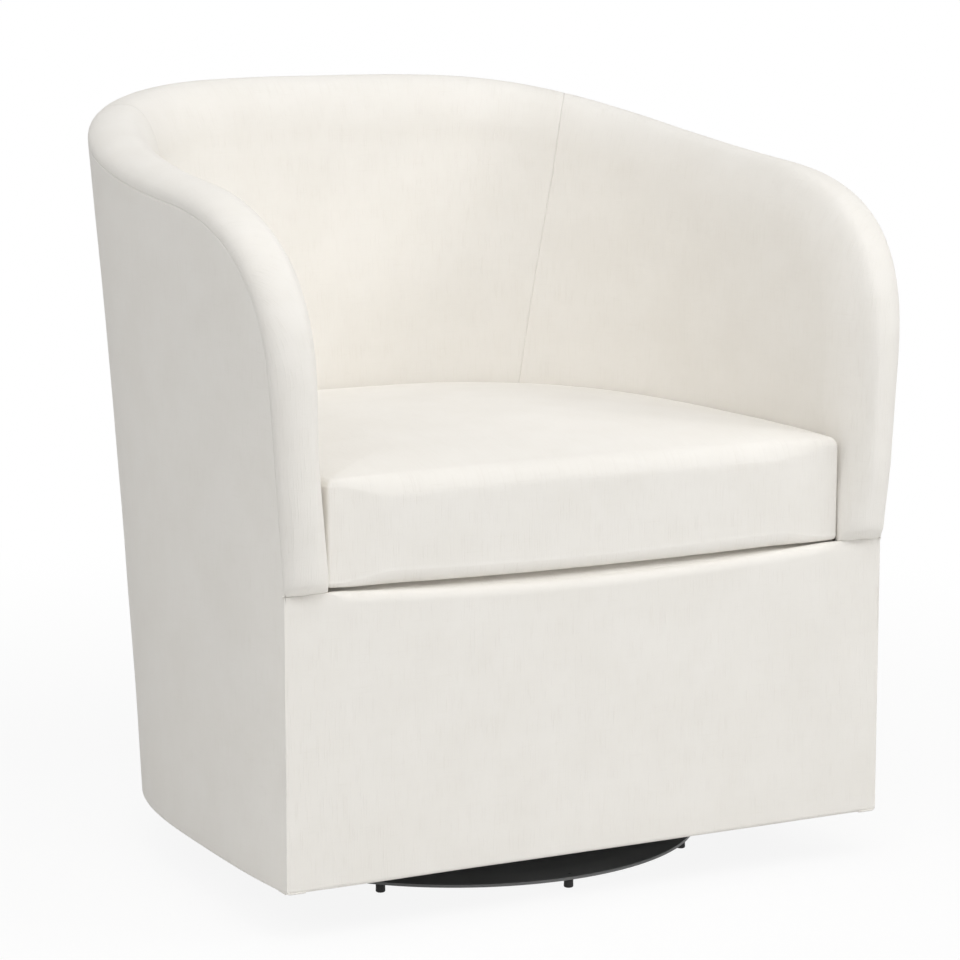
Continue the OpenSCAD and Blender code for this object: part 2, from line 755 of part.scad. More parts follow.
// Liner boards and foam
function board_face(run, d) = let (foot = [foot_turn(run), wall_base_z])
    [for (p = concat(line_rows(run, ply_top, cover_base_z), [foot])) outer_point(p[0], p[1], d)];
function board_section(run) = loop(board_face(run, board_in), board_face(run, board_in + board_t));
module inside_board_right() {
    color(board) placed() bar([for (run = arm_runs) board_section(run)]);
}
module inside_board_left() {
    other_side() inside_board_right();
}
module inside_board_back() {
    color(board) placed() bar([for (run = back_runs) board_section(run)], true);
}

function pad_section(run) = let (rows = line_rows(run, ply_top, cover_base_z)) loop(
    [for (p = rows) outer_point(p[0], p[1], foam_in)],
    [for (p = rows) inner_point(p[0], p[1], wall_in)]);
module arm_pad_right() {
    color(foam) placed() bar([for (run = arm_runs) pad_section(run)]);
}
module arm_pad_left() {
    other_side() arm_pad_right();
}
module back_pad() {
    color(foam) placed() bar([for (run = back_runs) pad_section(run)], true);
}

// The roll of foam that rounds the rim from one arm's front to the other's
roll_runs = concat(arm_runs, back_runs, [for (run = reversed(arm_runs)) 6 - run]);
function roll_section(run) = let (p = rim_at(run, roll_seat),
    o = outer_point(p[0], p[1], wall_in), i = inner_point(p[0], p[1], wall_in)) loop(
    [for (j = [0 : roll_steps]) mix(o, i, (1 - cos(180 * j / roll_steps)) / 2)],
    [for (j = [0 : roll_steps]) roll_point(run, 180 * j / roll_steps, wall_in)]);
module rim_roll() {
    color(foam) placed() bar([for (run = roll_runs) roll_section(run)], true);
}

// Deck under the cushion
edge_y = wall_in + edge_pad_d;
edge_sag_share = 0.25;
edge_sag = panel_dip * edge_sag_share;
module deck_pad() {
    color(felt) placed() translate([0, 0, pad_z - deck_pad_t]) linear_extrude(deck_pad_t)
        polygon(deck_outline(pad_z - deck_pad_t, edge_y + fit_gap));
}
edge_front_z = seam_z - panel_dip - deck_cloth_t - fit_gap;
edge_mid_y = wall_in + edge_pad_d / 2;
module front_edge_pad() {
    half = seat_front_half - fit_gap;
    clip_y = spring_start_y - fit_gap;
    low_z = clip_top + fit_gap;
    color(foam) placed() translate([-half, 0, 0]) rotate([90, 0, 90]) linear_extrude(2 * half)
        polygon([[wall_in, rail_top + fit_gap], [clip_y, rail_top + fit_gap], [clip_y, low_z],
            [edge_y, low_z + spring_rise(0, edge_y)], [edge_y, pad_z],
            [edge_mid_y, pad_z - edge_sag], [wall_in, edge_front_z]]);
}
function cloth_row(up) = let (rise = fit_gap + up) [[wall_in, edge_front_z + rise],
    [edge_mid_y, pad_z - edge_sag + rise], [edge_y, pad_z + rise], [seat_back_y, pad_z + rise]];
module deck_cloth() {
    color(ivory) placed() intersection() {
        translate([-side_w_top / 2, 0, 0]) rotate([90, 0, 90]) linear_extrude(side_w_top)
            polygon(loop(cloth_row(0), cloth_row(deck_cloth_t)));
        translate([0, 0, edge_front_z - overrun]) linear_extrude(deck_z - edge_front_z + 2 * overrun)
            polygon(deck_outline(edge_front_z, wall_in));
    }
}

// Covers. Each inside cover climbs the pad, rounds the roll and ends at the rim seam
function inside_sheet(run) = loop(inside_face(run, cover_t), inside_face(run, 0));
function inside_face(run, skin) = concat(
    [for (j = [0 : roll_steps]) roll_point(run, 180 * j / roll_steps, skin)],
    [for (p = line_rows(run, ply_top, cover_base_z)) inner_point(p[0], p[1], skin)]);
first_run = fit_gap / (bend_z - seam_z);
cover_runs = concat([first_run], [for (run = arm_runs) if (run > first_run) run]);
module inside_right_cover() {
    color(ivory) placed() bar([for (run = cover_runs) inside_sheet(run)]);
}
module inside_left_cover() {
    other_side() inside_right_cover();
}
module inside_back_cover() {
    color(ivory) placed() bar([for (run = back_runs) inside_sheet(run)], true);
}

function outside_sheet(run) = loop(outside_face(run, 0), outside_face(run, cover_t));
function outside_face(run, d) = let (top = rim_at(run, fit_gap)) [for (r = [0 : skirt_steps])
    outer_point(top[0], mix(top[1], skirt_z, r / skirt_steps), d)];
module outside_right_cover() {
    color(ivory) placed() bar([for (run = side_runs) outside_sheet(run)]);
}
module outside_left_cover() {
    other_side() outside_right_cover();
}
module outside_back_cover() {
    color(ivory) placed() bar([for (run = back_runs) outside_sheet(run)], true);
}

panel_steps = 12;
panel_power = 4;
module front_panel_cover() {
    half = front_w / 2 - wall_in;
    inner = seat_front_half - fit_gap;
    color(ivory) placed() translate([0, cover_t, 0]) rotate([90, 0, 0]) linear_extrude(cover_t)
        polygon(concat([[-half, skirt_z], [half, skirt_z], [half, seam_z]],
            [for (i = [0 : panel_steps]) let (x = inner - 2 * inner * i / panel_steps)
                [x, seam_z - panel_dip * (1 - pow(x / inner, panel_power))]],
            [[-half, seam_z]]));
}

dust_t = 0.8;
dust_hole_r = plate_w * sqrt(2) / 2 + fit_gap;
module dust_cover() {
    color(black_cloth) placed() translate([0, 0, frame_z - fit_gap - dust_t]) difference() {
        linear_extrude(dust_t) polygon(outline(skirt_z, wall_in));
        translate([0, swivel_y, -overrun]) cylinder(r = dust_hole_r, h = dust_t + 2 * overrun, $fn = smooth);
    }
}

// Cushion. Its plan follows the arms and the back, with rounded front corners
cushion_steps = 32;
cushion_mid_share = 0.48;
cushion_mid = [0, cushion_front_y + (seat_back_y - cushion_front_y) * cushion_mid_share];
cushion_turn = turn_at(cushion_front_y + cushion_corner_r, seam_z);
corner_steps = 3;
front_steps = 4;
function cushion_side(turn) = let (p = inner_point(turn, deck_z, -cushion_gap)) [p[0], p[1]];
function cushion_corner(a) = let (p = cushion_side(cushion_turn))
    [p[0] - cushion_corner_r * (1 - cos(a)), p[1] - cushion_corner_r * sin(a)];
function cushion_front(x, half) = [x, cushion_front_y + cushion_draw * (1 - pow(x / half, 2))];
cushion_edge = let (corner = [for (i = [1 : corner_steps]) cushion_corner(90 * i / corner_steps)],
    half = corner[corner_steps - 1][0]) concat(
    [for (i = [0 : cushion_steps]) cushion_side(cushion_turn + (180 - 2 * cushion_turn) * i / cushion_steps)],
    [for (p = corner) [-p[0], p[1]]],
    [for (i = [1 : front_steps - 1]) cushion_front(-half + 2 * half * i / front_steps, half)],
    [for (i = [corner_steps - 1 : -1 : 0]) corner[i]]);

// A ring of the cushion at an inset from its edge, at a height
function cushion_ring(inset, z) = [for (p = cushion_edge) concat(p + unit(cushion_mid - p) * inset, [z])];
// A ring a share of the way to the middle, on the crowned top or the flat underside
function crown_ring(share, z, rise) = [for (p = cushion_edge) let (d = cushion_mid - p,
    q = p + unit(d) * (cushion_edge_r + (norm(d) - cushion_edge_r) * share))
    concat(q, [z + rise * pow(sin(90 * share), crown_power)])];
crown_shares = [0.12, 0.3, 0.52, 0.76];
edge_angles = [0, 45, 90];
function edge_rings(z, up, skin) = [for (a = edge_angles) let (r = cushion_edge_r - skin)
    cushion_ring(skin + r * (1 - cos(a)), z + up * r * sin(a))];
function top_rings(skin) = concat(
    edge_rings(cushion_top_z - cushion_edge_r, 1, skin),
    [for (s = crown_shares) crown_ring(s, cushion_top_z - skin, cushion_crown)]);
function low_rings(skin) = concat(
    [for (i = [len(crown_shares) - 1 : -1 : 0]) crown_ring(crown_shares[i], cushion_z + skin, 0)],
    reversed(edge_rings(cushion_z + cushion_edge_r, -1, skin)));
function cushion_peak(skin) = concat(cushion_mid, [cushion_top_z + cushion_crown - skin]);
function cushion_base(skin) = concat(cushion_mid, [cushion_z + skin]);

module cushion_core() {
    rings = concat(low_rings(wall_in), top_rings(wall_in));
    color(foam) placed() ring_body(cushion_base(wall_in), rings, cushion_peak(wall_in));
}
module cushion_top() {
    rings = concat(reversed(top_rings(cover_t)), top_rings(0));
    color(ivory) placed() ring_body(cushion_peak(cover_t), rings, cushion_peak(0));
}
module cushion_bottom() {
    rings = concat(low_rings(0), reversed(low_rings(cover_t)));
    color(ivory) placed() ring_body(cushion_base(0), rings, cushion_base(cover_t));
}
boxing_rows = 3;
boxing_low_z = cushion_z + cushion_edge_r + fit_gap;
boxing_high_z = cushion_top_z - cushion_edge_r - fit_gap;
function boxing_face(skin) = [for (r = [0 : boxing_rows])
    cushion_ring(skin, mix(boxing_low_z, boxing_high_z, r / boxing_rows))];
module cushion_boxing() {
    color(ivory) placed() closed_bar(concat(boxing_face(0), reversed(boxing_face(cover_t))));
}

base_disc();
rubber_feet();
lower_race();
spindle();
race_rivets();
ball_cage();
bearing_balls();
upper_race();
swivel_plate();
swivel_bolts();
cross_rail_front();
cross_rail_back();
bottom_front_rail();
bottom_left_rail();
bottom_right_rail();
bottom_back_rail();
corner_blocks();
front_post_left();
front_post_right();
side_post_left();
side_post_right();
back_post_left();
back_post_right();
seat_front_rail();
seat_left_rail();
seat_right_rail();
seat_back_rail();
arm_frame_left();
arm_frame_right();
back_top_rail();
seat_springs();
spring_clips();
tie_wires();
inside_board_left();
inside_board_right();
inside_board_back();
arm_pad_left();
arm_pad_right();
back_pad();
rim_roll();
deck_pad();
front_edge_pad();
deck_cloth();
inside_left_cover();
inside_right_cover();
inside_back_cover();
outside_left_cover();
outside_right_cover();
outside_back_cover();
front_panel_cover();
dust_cover();
cushion_core();
cushion_top();
cushion_boxing();
cushion_bottom();
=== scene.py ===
"""Looks of a swivel barrel chair: a linen tub with a rolled rim on a dark disc."""
import json
import logging
import math
from dataclasses import dataclass, field
from enum import Enum
from itertools import accumulate
from typing import Any, Callable, Optional, Sequence, Union

import bmesh
import bpy
from mathutils import Matrix, Vector, bvhtree, kdtree, noise


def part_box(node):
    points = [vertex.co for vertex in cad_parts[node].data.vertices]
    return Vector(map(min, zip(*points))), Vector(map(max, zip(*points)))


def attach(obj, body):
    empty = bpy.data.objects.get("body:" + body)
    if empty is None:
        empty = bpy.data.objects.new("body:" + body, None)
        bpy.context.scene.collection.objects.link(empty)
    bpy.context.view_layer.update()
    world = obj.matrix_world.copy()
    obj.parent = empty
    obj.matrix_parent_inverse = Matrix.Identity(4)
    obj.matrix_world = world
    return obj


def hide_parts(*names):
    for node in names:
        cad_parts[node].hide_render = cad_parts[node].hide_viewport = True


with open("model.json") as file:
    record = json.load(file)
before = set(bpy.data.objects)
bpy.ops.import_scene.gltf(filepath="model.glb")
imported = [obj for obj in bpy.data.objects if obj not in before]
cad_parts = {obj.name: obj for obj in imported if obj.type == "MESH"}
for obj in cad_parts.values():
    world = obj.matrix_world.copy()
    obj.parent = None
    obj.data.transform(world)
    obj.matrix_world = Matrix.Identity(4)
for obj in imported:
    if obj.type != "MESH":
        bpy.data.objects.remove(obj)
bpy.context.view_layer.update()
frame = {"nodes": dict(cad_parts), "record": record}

Spots = dict[bmesh.types.BMVert, tuple[int, int]]
CLOTH_UV = "Cloth"
EDGE_POWER = 1.6
WELD = 1e-6
WHITE = (1.0, 1.0, 1.0)
log = logging.getLogger("barrel_chair")


class Wall(Enum):
    """The walls of the tub, seen by someone who faces its front: -1 and 1 are the sides."""

    LEFT = -1
    RIGHT = 1
    BACK = 0

    def mirror(self, point: Callable[[float, float], Vector]) -> Callable[[float, float], Vector]:
        """Returns a rule for the points of this wall, from one for the right or the back."""
        return (lambda run, row: mirrored(point(run, row))) if self is Wall.LEFT else point


def mix(a: Any, b: Any, share: float) -> Any:
    """Returns the value a share of the way from a to b."""
    return a + (b - a) * share


def clamp(value: float, low: float = 0.0, high: float = 1.0) -> float:
    """Returns a value that is held between two limits."""
    return min(max(value, low), high)


def ease(share: float) -> float:
    """Returns a share from 0 to 1 that starts and stops softly."""
    held = clamp(share)
    return held * held * (3 - 2 * held)


def mirrored(p: Vector) -> Vector:
    """Returns a point on the other side of the chair."""
    return Vector((-p.x, p.y, p.z))


def lengths_along(points: Sequence[Vector]) -> list[float]:
    """Returns the length of a line of points up to each of them."""
    return list(accumulate(((b - a).length for a, b in zip(points, points[1:])), initial=0.0))


def angles(low: float, high: float, steps: int) -> list[float]:
    """Returns evenly spaced angles in radians, from limits in degrees."""
    return [math.radians(d) for d in spread(low, high, steps)]


def spread(low: float, high: float, steps: int) -> list[float]:
    """Returns evenly spaced values from low to high, both included."""
    return [mix(low, high, i / steps) for i in range(steps + 1)]


def toward_ends(low: float, high: float, steps: int, edge: float, edge_steps: int) -> list[float]:
    """Returns values from low to high that lie close together near both ends.

    Args:
        low: The first value.
        high: The last value.
        steps: The number of even steps between the two edges.
        edge: The length of each closely stepped edge.
        edge_steps: The number of steps in each edge.

    Returns:
        The values in rising order.
    """
    offsets = [edge * (i / edge_steps) ** EDGE_POWER for i in range(edge_steps)]
    first, last = [low + d for d in offsets], [high - d for d in reversed(offsets)]
    return first + spread(low + edge, high - edge, steps) + last


@dataclass(frozen=True)
class TubShape:
    """The plan of the walls, the rim and its roll, in metres, with the front panel on y = 0.

    A run counts along the rim seam: 0 to 1 up the right arm's front, 1 to 2 over its bend, 2 to 3
    on to the middle of the back, and from there to 6 down the left arm. A turn is the sweep angle
    in the plan: below 0 on the front run, 90 at the middle of the back, past 90 on the left. The
    names with share, power and angle have no unit or are in degrees.
    """

    front_w: float = 0.680
    side_w_bottom: float = 0.691
    side_w_top: float = 0.733
    skirt_z: float = 0.051
    seam_z: float = 0.343
    bend_h: float = 0.170
    bend_run: float = 0.216
    arm_z: float = 0.696
    back_z: float = 0.782
    back_y_bottom: float = 0.570
    back_y_top: float = 0.663
    front_run: float = 0.112
    panel_dip: float = 0.009
    arm_front_t: float = 0.0495
    arm_seat_t: float = 0.052
    arm_rim_t: float = 0.0665
    back_seat_t: float = 0.0445
    back_rim_t: float = 0.067
    roll_rise: float = 0.0213
    roll_bulge: float = 0.0012
    pinch_h: float = 0.090
    deck_rise: float = 0.003
    rail_depth: float = 0.0703
    wall_base_z: float = 0.2988
    cover_base_z: float = 0.3332
    side_lean_share: float = 0.39
    arm_flare_share: float = 0.065
    plan_power: float = 3.5
    seat_power: float = 2.7
    rim_power: float = 3.9
    rim_rise_power: float = 2.15
    bend_power: float = 2.57
    roll_power: float = 0.75
    lowest_lean: float = -0.2
    front_angle: float = 20.0
    seam_angle: float = 58.5
    foot_bend_angle: float = 22.0
    upright_foot_angle: float = -4.0
    power_base_z: float = 0.4493
    end_share: float = 0.60
    end_tuck: float = 0.016
    end_sink: float = 0.0026
    low_drop: float = 0.006
    high_drop: float = 0.046
    drop_rise: float = 0.150
    seam_skew: float = 0.087
    skew_on_roll: float = 0.155
    skew_on_rail: float = 0.21

    @property
    def bend_z(self) -> float:
        """Height at which the arm's front starts to bend back."""
        return self.arm_z - self.bend_h

    @property
    def deck_z(self) -> float:
        """Height of the deck under the cushion."""
        return self.seam_z + self.deck_rise

    @property
    def seat_front_half(self) -> float:
        """Half the width between the arms at their front."""
        return self.front_w / 2 - self.arm_front_t

    @property
    def back_rim_y(self) -> float:
        """Depth of the rim seam at the middle of the back."""
        return self.back_y(self.back_z)

    @property
    def origin_y(self) -> float:
        """Depth of the chair's middle, which becomes y = 0."""
        return (self.back_rim_y - self.roll_rise) / 2

    @property
    def bend_turn(self) -> float:
        """Sweep angle at the rear end of the arm's bend."""
        return self.turn_at(self.bend_run, self.crest(self.bend_run))

    @property
    def seam_run(self) -> float:
        """Run of the rim at the seam between an arm's cover and the back's."""
        return 2 + (self.seam_angle - self.bend_turn) / (90 - self.bend_turn)

    def lean(self, z: float) -> float:
        """Returns the height as a share of the way from the skirt to the arms."""
        return (z - self.skirt_z) / (self.arm_z - self.skirt_z)

    def side_half(self, z: float) -> float:
        """Returns half the widest width at a height.

        Args:
            z: The height.

        Returns:
            The half width.
        """
        lean = max(self.lean(z), self.lowest_lean)
        bow = self.side_lean_share * lean + (1 - self.side_lean_share) * lean * lean
        return mix(self.side_w_bottom, self.side_w_top, bow) / 2

    def front_half(self, z: float) -> float:
        """Returns half the width of the front at a height."""
        return self.front_w / 2 + self.arm_flare_share * max(z - self.seam_z, 0.0)

    def back_y(self, z: float) -> float:
        """Returns the depth of the back at a height."""
        return mix(self.back_y_bottom, self.back_y_top, self.lean(z))

    def seat_back_y(self) -> float:
        """Returns the depth of the inside back at the height of the deck."""
        return self.back_y(self.deck_z) - self.back_seat_t

    def inner_half(self, z: float) -> float:
        """Returns half the widest width between the arms at a height.

        Args:
            z: The height.

        Returns:
            The half width.
        """
        share = (z - self.deck_z) / (self.arm_z - self.deck_z)
        low, high = self.side_half(self.deck_z), self.side_half(self.arm_z)
        return mix(low - self.arm_seat_t, high - self.arm_rim_t, share)

    def inner_back_y(self, z: float) -> float:
        """Returns the depth of the inside back at a height."""
        share = (z - self.deck_z) / (self.back_z - self.deck_z)
        return mix(self.seat_back_y(), self.back_rim_y - self.back_rim_t, share)

    def plan_point(
        self, turn: float, z: float, a: float, b: float, power: float, front: float
    ) -> Vector:
        """Returns the point of a plan at a sweep angle.

        Args:
            turn: The sweep angle in degrees, below 0 on the front run and past 90 on the left.
            z: The plan's height.
            a: Half the widest width.
            b: Depth behind the front run.
            power: The plan's roundness: 2 is an ellipse, more is squarer.
            front: Half the width at the front.

        Returns:
            The point, with y = 0 in the middle of the chair.
        """
        if turn > 90:
            return mirrored(self.plan_point(180 - turn, z, a, b, power, front))
        if turn < 0:
            y = self.front_run * (1 + turn / self.front_angle)
            rest = 1 - y / self.front_run
            x = a - (a - front) * rest * rest
        else:
            c = max(math.cos(math.radians(turn)), 0.0)
            s = math.sin(math.radians(turn))
            reach = ((c / a) ** power + (s / b) ** power) ** (-1 / power)
            x, y = reach * c, self.front_run + reach * s
        return Vector((x, y - self.origin_y, z))

    def outer(self, turn: float, z: float, d: float = 0.0) -> Vector:
        """Returns a point of the outside at a sweep angle and height, d behind the surface.

        Args:
            turn: The sweep angle in degrees.
            z: The height.
            d: The distance behind the surface.

        Returns:
            The point.
        """
        a, front = self.side_half(z) - d, self.front_half(z) - d
        b = self.back_y(z) - self.front_run - d
        return self.plan_point(turn, z, a, b, self.plan_power, front)

    def inner(self, turn: float, z: float, e: float = 0.0) -> Vector:
        """Returns a point of the inside at a sweep angle and height, e behind the surface.

        Args:
            turn: The sweep angle in degrees.
            z: The height.
            e: The distance behind the surface.

        Returns:
            The point.
        """
        square = clamp((z - self.power_base_z) / (self.back_z - self.power_base_z))
        power = mix(self.seat_power, self.rim_power, square)
        a, front = self.inner_half(z) + e, self.seat_front_half + e
        b = self.inner_back_y(z) - self.front_run + e
        return self.plan_point(turn, z, a, b, power, front)

    def turn_at(self, y: float, z: float) -> float:
        """Returns the sweep angle at a depth y of the outside, at a height.

        Args:
            y: The depth behind the front panel.
            z: The height.

        Returns:
            The angle in degrees.
        """
        if y < self.front_run:
            return self.front_angle * (y / self.front_run - 1)
        share = min((y - self.front_run) / (self.back_y(z) - self.front_run), 1.0)
        half = self.side_half(z) * (1 - share**self.plan_power) ** (1 / self.plan_power)
        return math.degrees(math.atan2(y - self.front_run, half))

    def crest(self, y: float) -> float:
        """Returns the height of the rim seam at a depth y."""
        share = max(y, 0.0) / self.back_rim_y
        return self.arm_z + (self.back_z - self.arm_z) * share**self.rim_rise_power

    def rear_rim_z(self, turn: float) -> float:
        """Returns the height of the rim seam behind the bend, at a sweep angle."""
        first = self.crest(self.outer(turn, self.arm_z).y + self.origin_y)
        return self.crest(self.outer(turn, first).y + self.origin_y)

    def rim_at(self, run: float, inset: float = 0.0) -> tuple[float, float]:
        """Returns sweep angle and height of the rim seam at a run from 0 to 6, or inset from it.

        Args:
            run: The run of the rim seam.
            inset: How far it lies in from the seam.

        Returns:
            The sweep angle and the height.
        """
        if run > 3:
            turn, z = self.rim_at(6 - run, inset)
            return 180 - turn, z
        if run < 1:
            z = mix(self.seam_z, self.bend_z, run)
            return self.turn_at(inset, z), z
        if run < 2:
            a = math.radians(90 * (run - 1))
            y = inset + (self.bend_run - inset) * (1 - math.cos(a) ** (2 / self.bend_power))
            rise = (self.crest(y) - inset - self.bend_z) * math.sin(a) ** (2 / self.bend_power)
            return self.turn_at(y, self.bend_z + rise), self.bend_z + rise
        turn = mix(self.bend_turn, 90.0, run - 2)
        return turn, self.rear_rim_z(turn) - inset

    def rim_up(self, run: float) -> Vector:
        """Returns the direction in which the roll stands proud of the rim seam.

        Args:
            run: The run of the rim seam.

        Returns:
            A direction of length 1.
        """
        near = 6 - run if run > 3 else run
        if near < 1:
            return Vector((0, -1, 0))
        if near >= 2:
            return Vector((0, 0, 1))
        a = math.radians(90 * (near - 1))
        k = 2 - 2 / self.bend_power
        rise = self.crest(self.bend_run) - self.bend_z
        return Vector((0, -math.cos(a) ** k / self.bend_run, math.sin(a) ** k / rise)).normalized()

    def roll_point(self, run: float, angle: float) -> Vector:
        """Returns a point on the roll, from angle 0 at the outer seam to 180 at the inside.

        Args:
            run: The run of the rim seam.
            angle: The angle in degrees round the roll.

        Returns:
            The point.
        """
        turn, z = self.rim_at(run)
        tuck = clamp((z - self.seam_z) / self.end_tuck)
        fullness = 1 - (1 - tuck) ** 2
        swell = mix(self.end_share, 1.0, ease((z - self.seam_z) / self.pinch_h)) * fullness
        rise = self.roll_rise * swell - self.end_sink * (1 - fullness)
        o, i, up = self.outer(turn, z), self.inner(turn, z), self.rim_up(run)
        if angle <= 90:
            a = math.radians(angle)
            bulge = (o - i).normalized() * (self.roll_bulge * swell * math.sin(2 * a))
            climb = up * (rise * math.sin(a) ** self.roll_power)
            return mix(o, i, (1 - math.cos(a)) / 2) + climb + bulge
        crown = mix(o, i, 0.5) + up * rise
        wall = self.inner(*self.rim_at(run, self.drop(z)))
        foot = crown - up * (crown - wall).dot(up)
        a = math.radians(angle - 90)
        return foot + (crown - foot) * math.cos(a) + (wall - foot) * math.sin(a)

    def drop(self, z: float) -> float:
        """Returns how far below the rim seam the roll ends, by the seam's height."""
        return mix(self.low_drop, self.high_drop, ease((z - self.seam_z) / self.drop_rise))

    def skewed(self, run: float, row: float) -> float:
        """Returns the run to which a line down the inside has moved, near an arm's rear seam.

        Args:
            run: The run of the rim seam where the line starts.
            row: -1 at the rim seam, 0 where the roll ends, and on as in inside_place.

        Returns:
            The run to which the line has moved.
        """
        if run > 3:
            return 6 - self.skewed(6 - run, row)
        if run <= 2:
            return run
        end = 2 if run < self.seam_run else 3
        near = (run - end) / (self.seam_run - end)
        if row < 0:
            past_crown = math.radians(180 * max(row + 0.5, 0.0))
            fall = self.skew_on_roll * (1 - math.cos(past_crown))
        elif row <= 1:
            fall = mix(self.skew_on_roll, self.skew_on_rail, row)
        else:
            fall = mix(self.skew_on_rail, 1.0, row - 1)
        return run + self.seam_skew * ease(near) * fall

    def foot_turn(self, run: float) -> float:
        """Returns the sweep angle at which a line down the inside meets the seat frame.

        Args:
            run: The run of the rim seam.

        Returns:
            The angle in degrees.
        """
        if run > 3:
            return 180 - self.foot_turn(6 - run)
        low = self.turn_at(self.rail_depth, self.seam_z)
        stops = (low, self.upright_foot_angle, self.foot_bend_angle, 90.0)
        first = min(int(run), 2)
        return mix(stops[first], stops[first + 1], run - first)

    def inside_place(self, run: float, row: float) -> tuple[float, float]:
        """Returns sweep angle and height on a line down the inside.

        Args:
            run: The run of the rim seam where the line starts.
            row: 0 where the roll ends, 1 at the plywood's lower edge, 2 at the cover's foot.

        Returns:
            The sweep angle and the height.
        """
        run = self.skewed(run, row)
        if row <= 1:
            return self.rim_at(run, mix(self.drop(self.rim_at(run)[1]), self.rail_depth, row))
        turn, z = self.rim_at(run, self.rail_depth)
        share = (row - 1) * (z - self.cover_base_z) / (z - self.wall_base_z)
        return mix(turn, self.foot_turn(run), share), mix(z, self.wall_base_z, share)


SHAPE = TubShape()


def operator(operation: str, swapped: bool = False) -> Callable[["Wire", Any], "Wire"]:
    """Returns a method that joins a wire and another value in a Math node.

    Args:
        operation: The node's operation.
        swapped: Whether the other value comes first.

    Returns:
        The method.
    """

    def method(self: "Wire", other: Union["Wire", float]) -> "Wire":
        """Returns the node's result."""
        values = (other, self) if swapped else (self, other)
        return self.paint.node("ShaderNodeMath", {"operation": operation}, dict(enumerate(values)))

    return method


class Wire:
    """A value in a material's node tree. Python's operators on it add Math nodes."""

    __add__ = operator("ADD")
    __radd__ = operator("ADD", swapped=True)
    __sub__ = operator("SUBTRACT")
    __rsub__ = operator("SUBTRACT", swapped=True)
    __mul__ = operator("MULTIPLY")
    __rmul__ = operator("MULTIPLY", swapped=True)
    __truediv__ = operator("DIVIDE")
    __rtruediv__ = operator("DIVIDE", swapped=True)

    def __init__(self, paint: "Paint", socket: bpy.types.NodeSocket) -> None:
        """Keeps the node tree's builder and the socket that carries the value."""
        self.paint = paint
        self.socket = socket

    def math(self, operation: str, *others: Union["Wire", float]) -> "Wire":
        """Returns the result of a Math node whose first value is this one."""
        values = {i: value for i, value in enumerate((self,) + others)}
        return self.paint.node("ShaderNodeMath", {"operation": operation}, values)

    def sine(self) -> "Wire":
        """Returns the sine of this value."""
        return self.math("SINE")

    def band(self, low: float, high: float) -> "Wire":
        """Returns a soft step from 0 at low to 1 at high."""
        values = {"Value": self, "From Min": low, "From Max": high}
        return self.paint.node("ShaderNodeMapRange", {"interpolation_type": "SMOOTHSTEP"}, values)


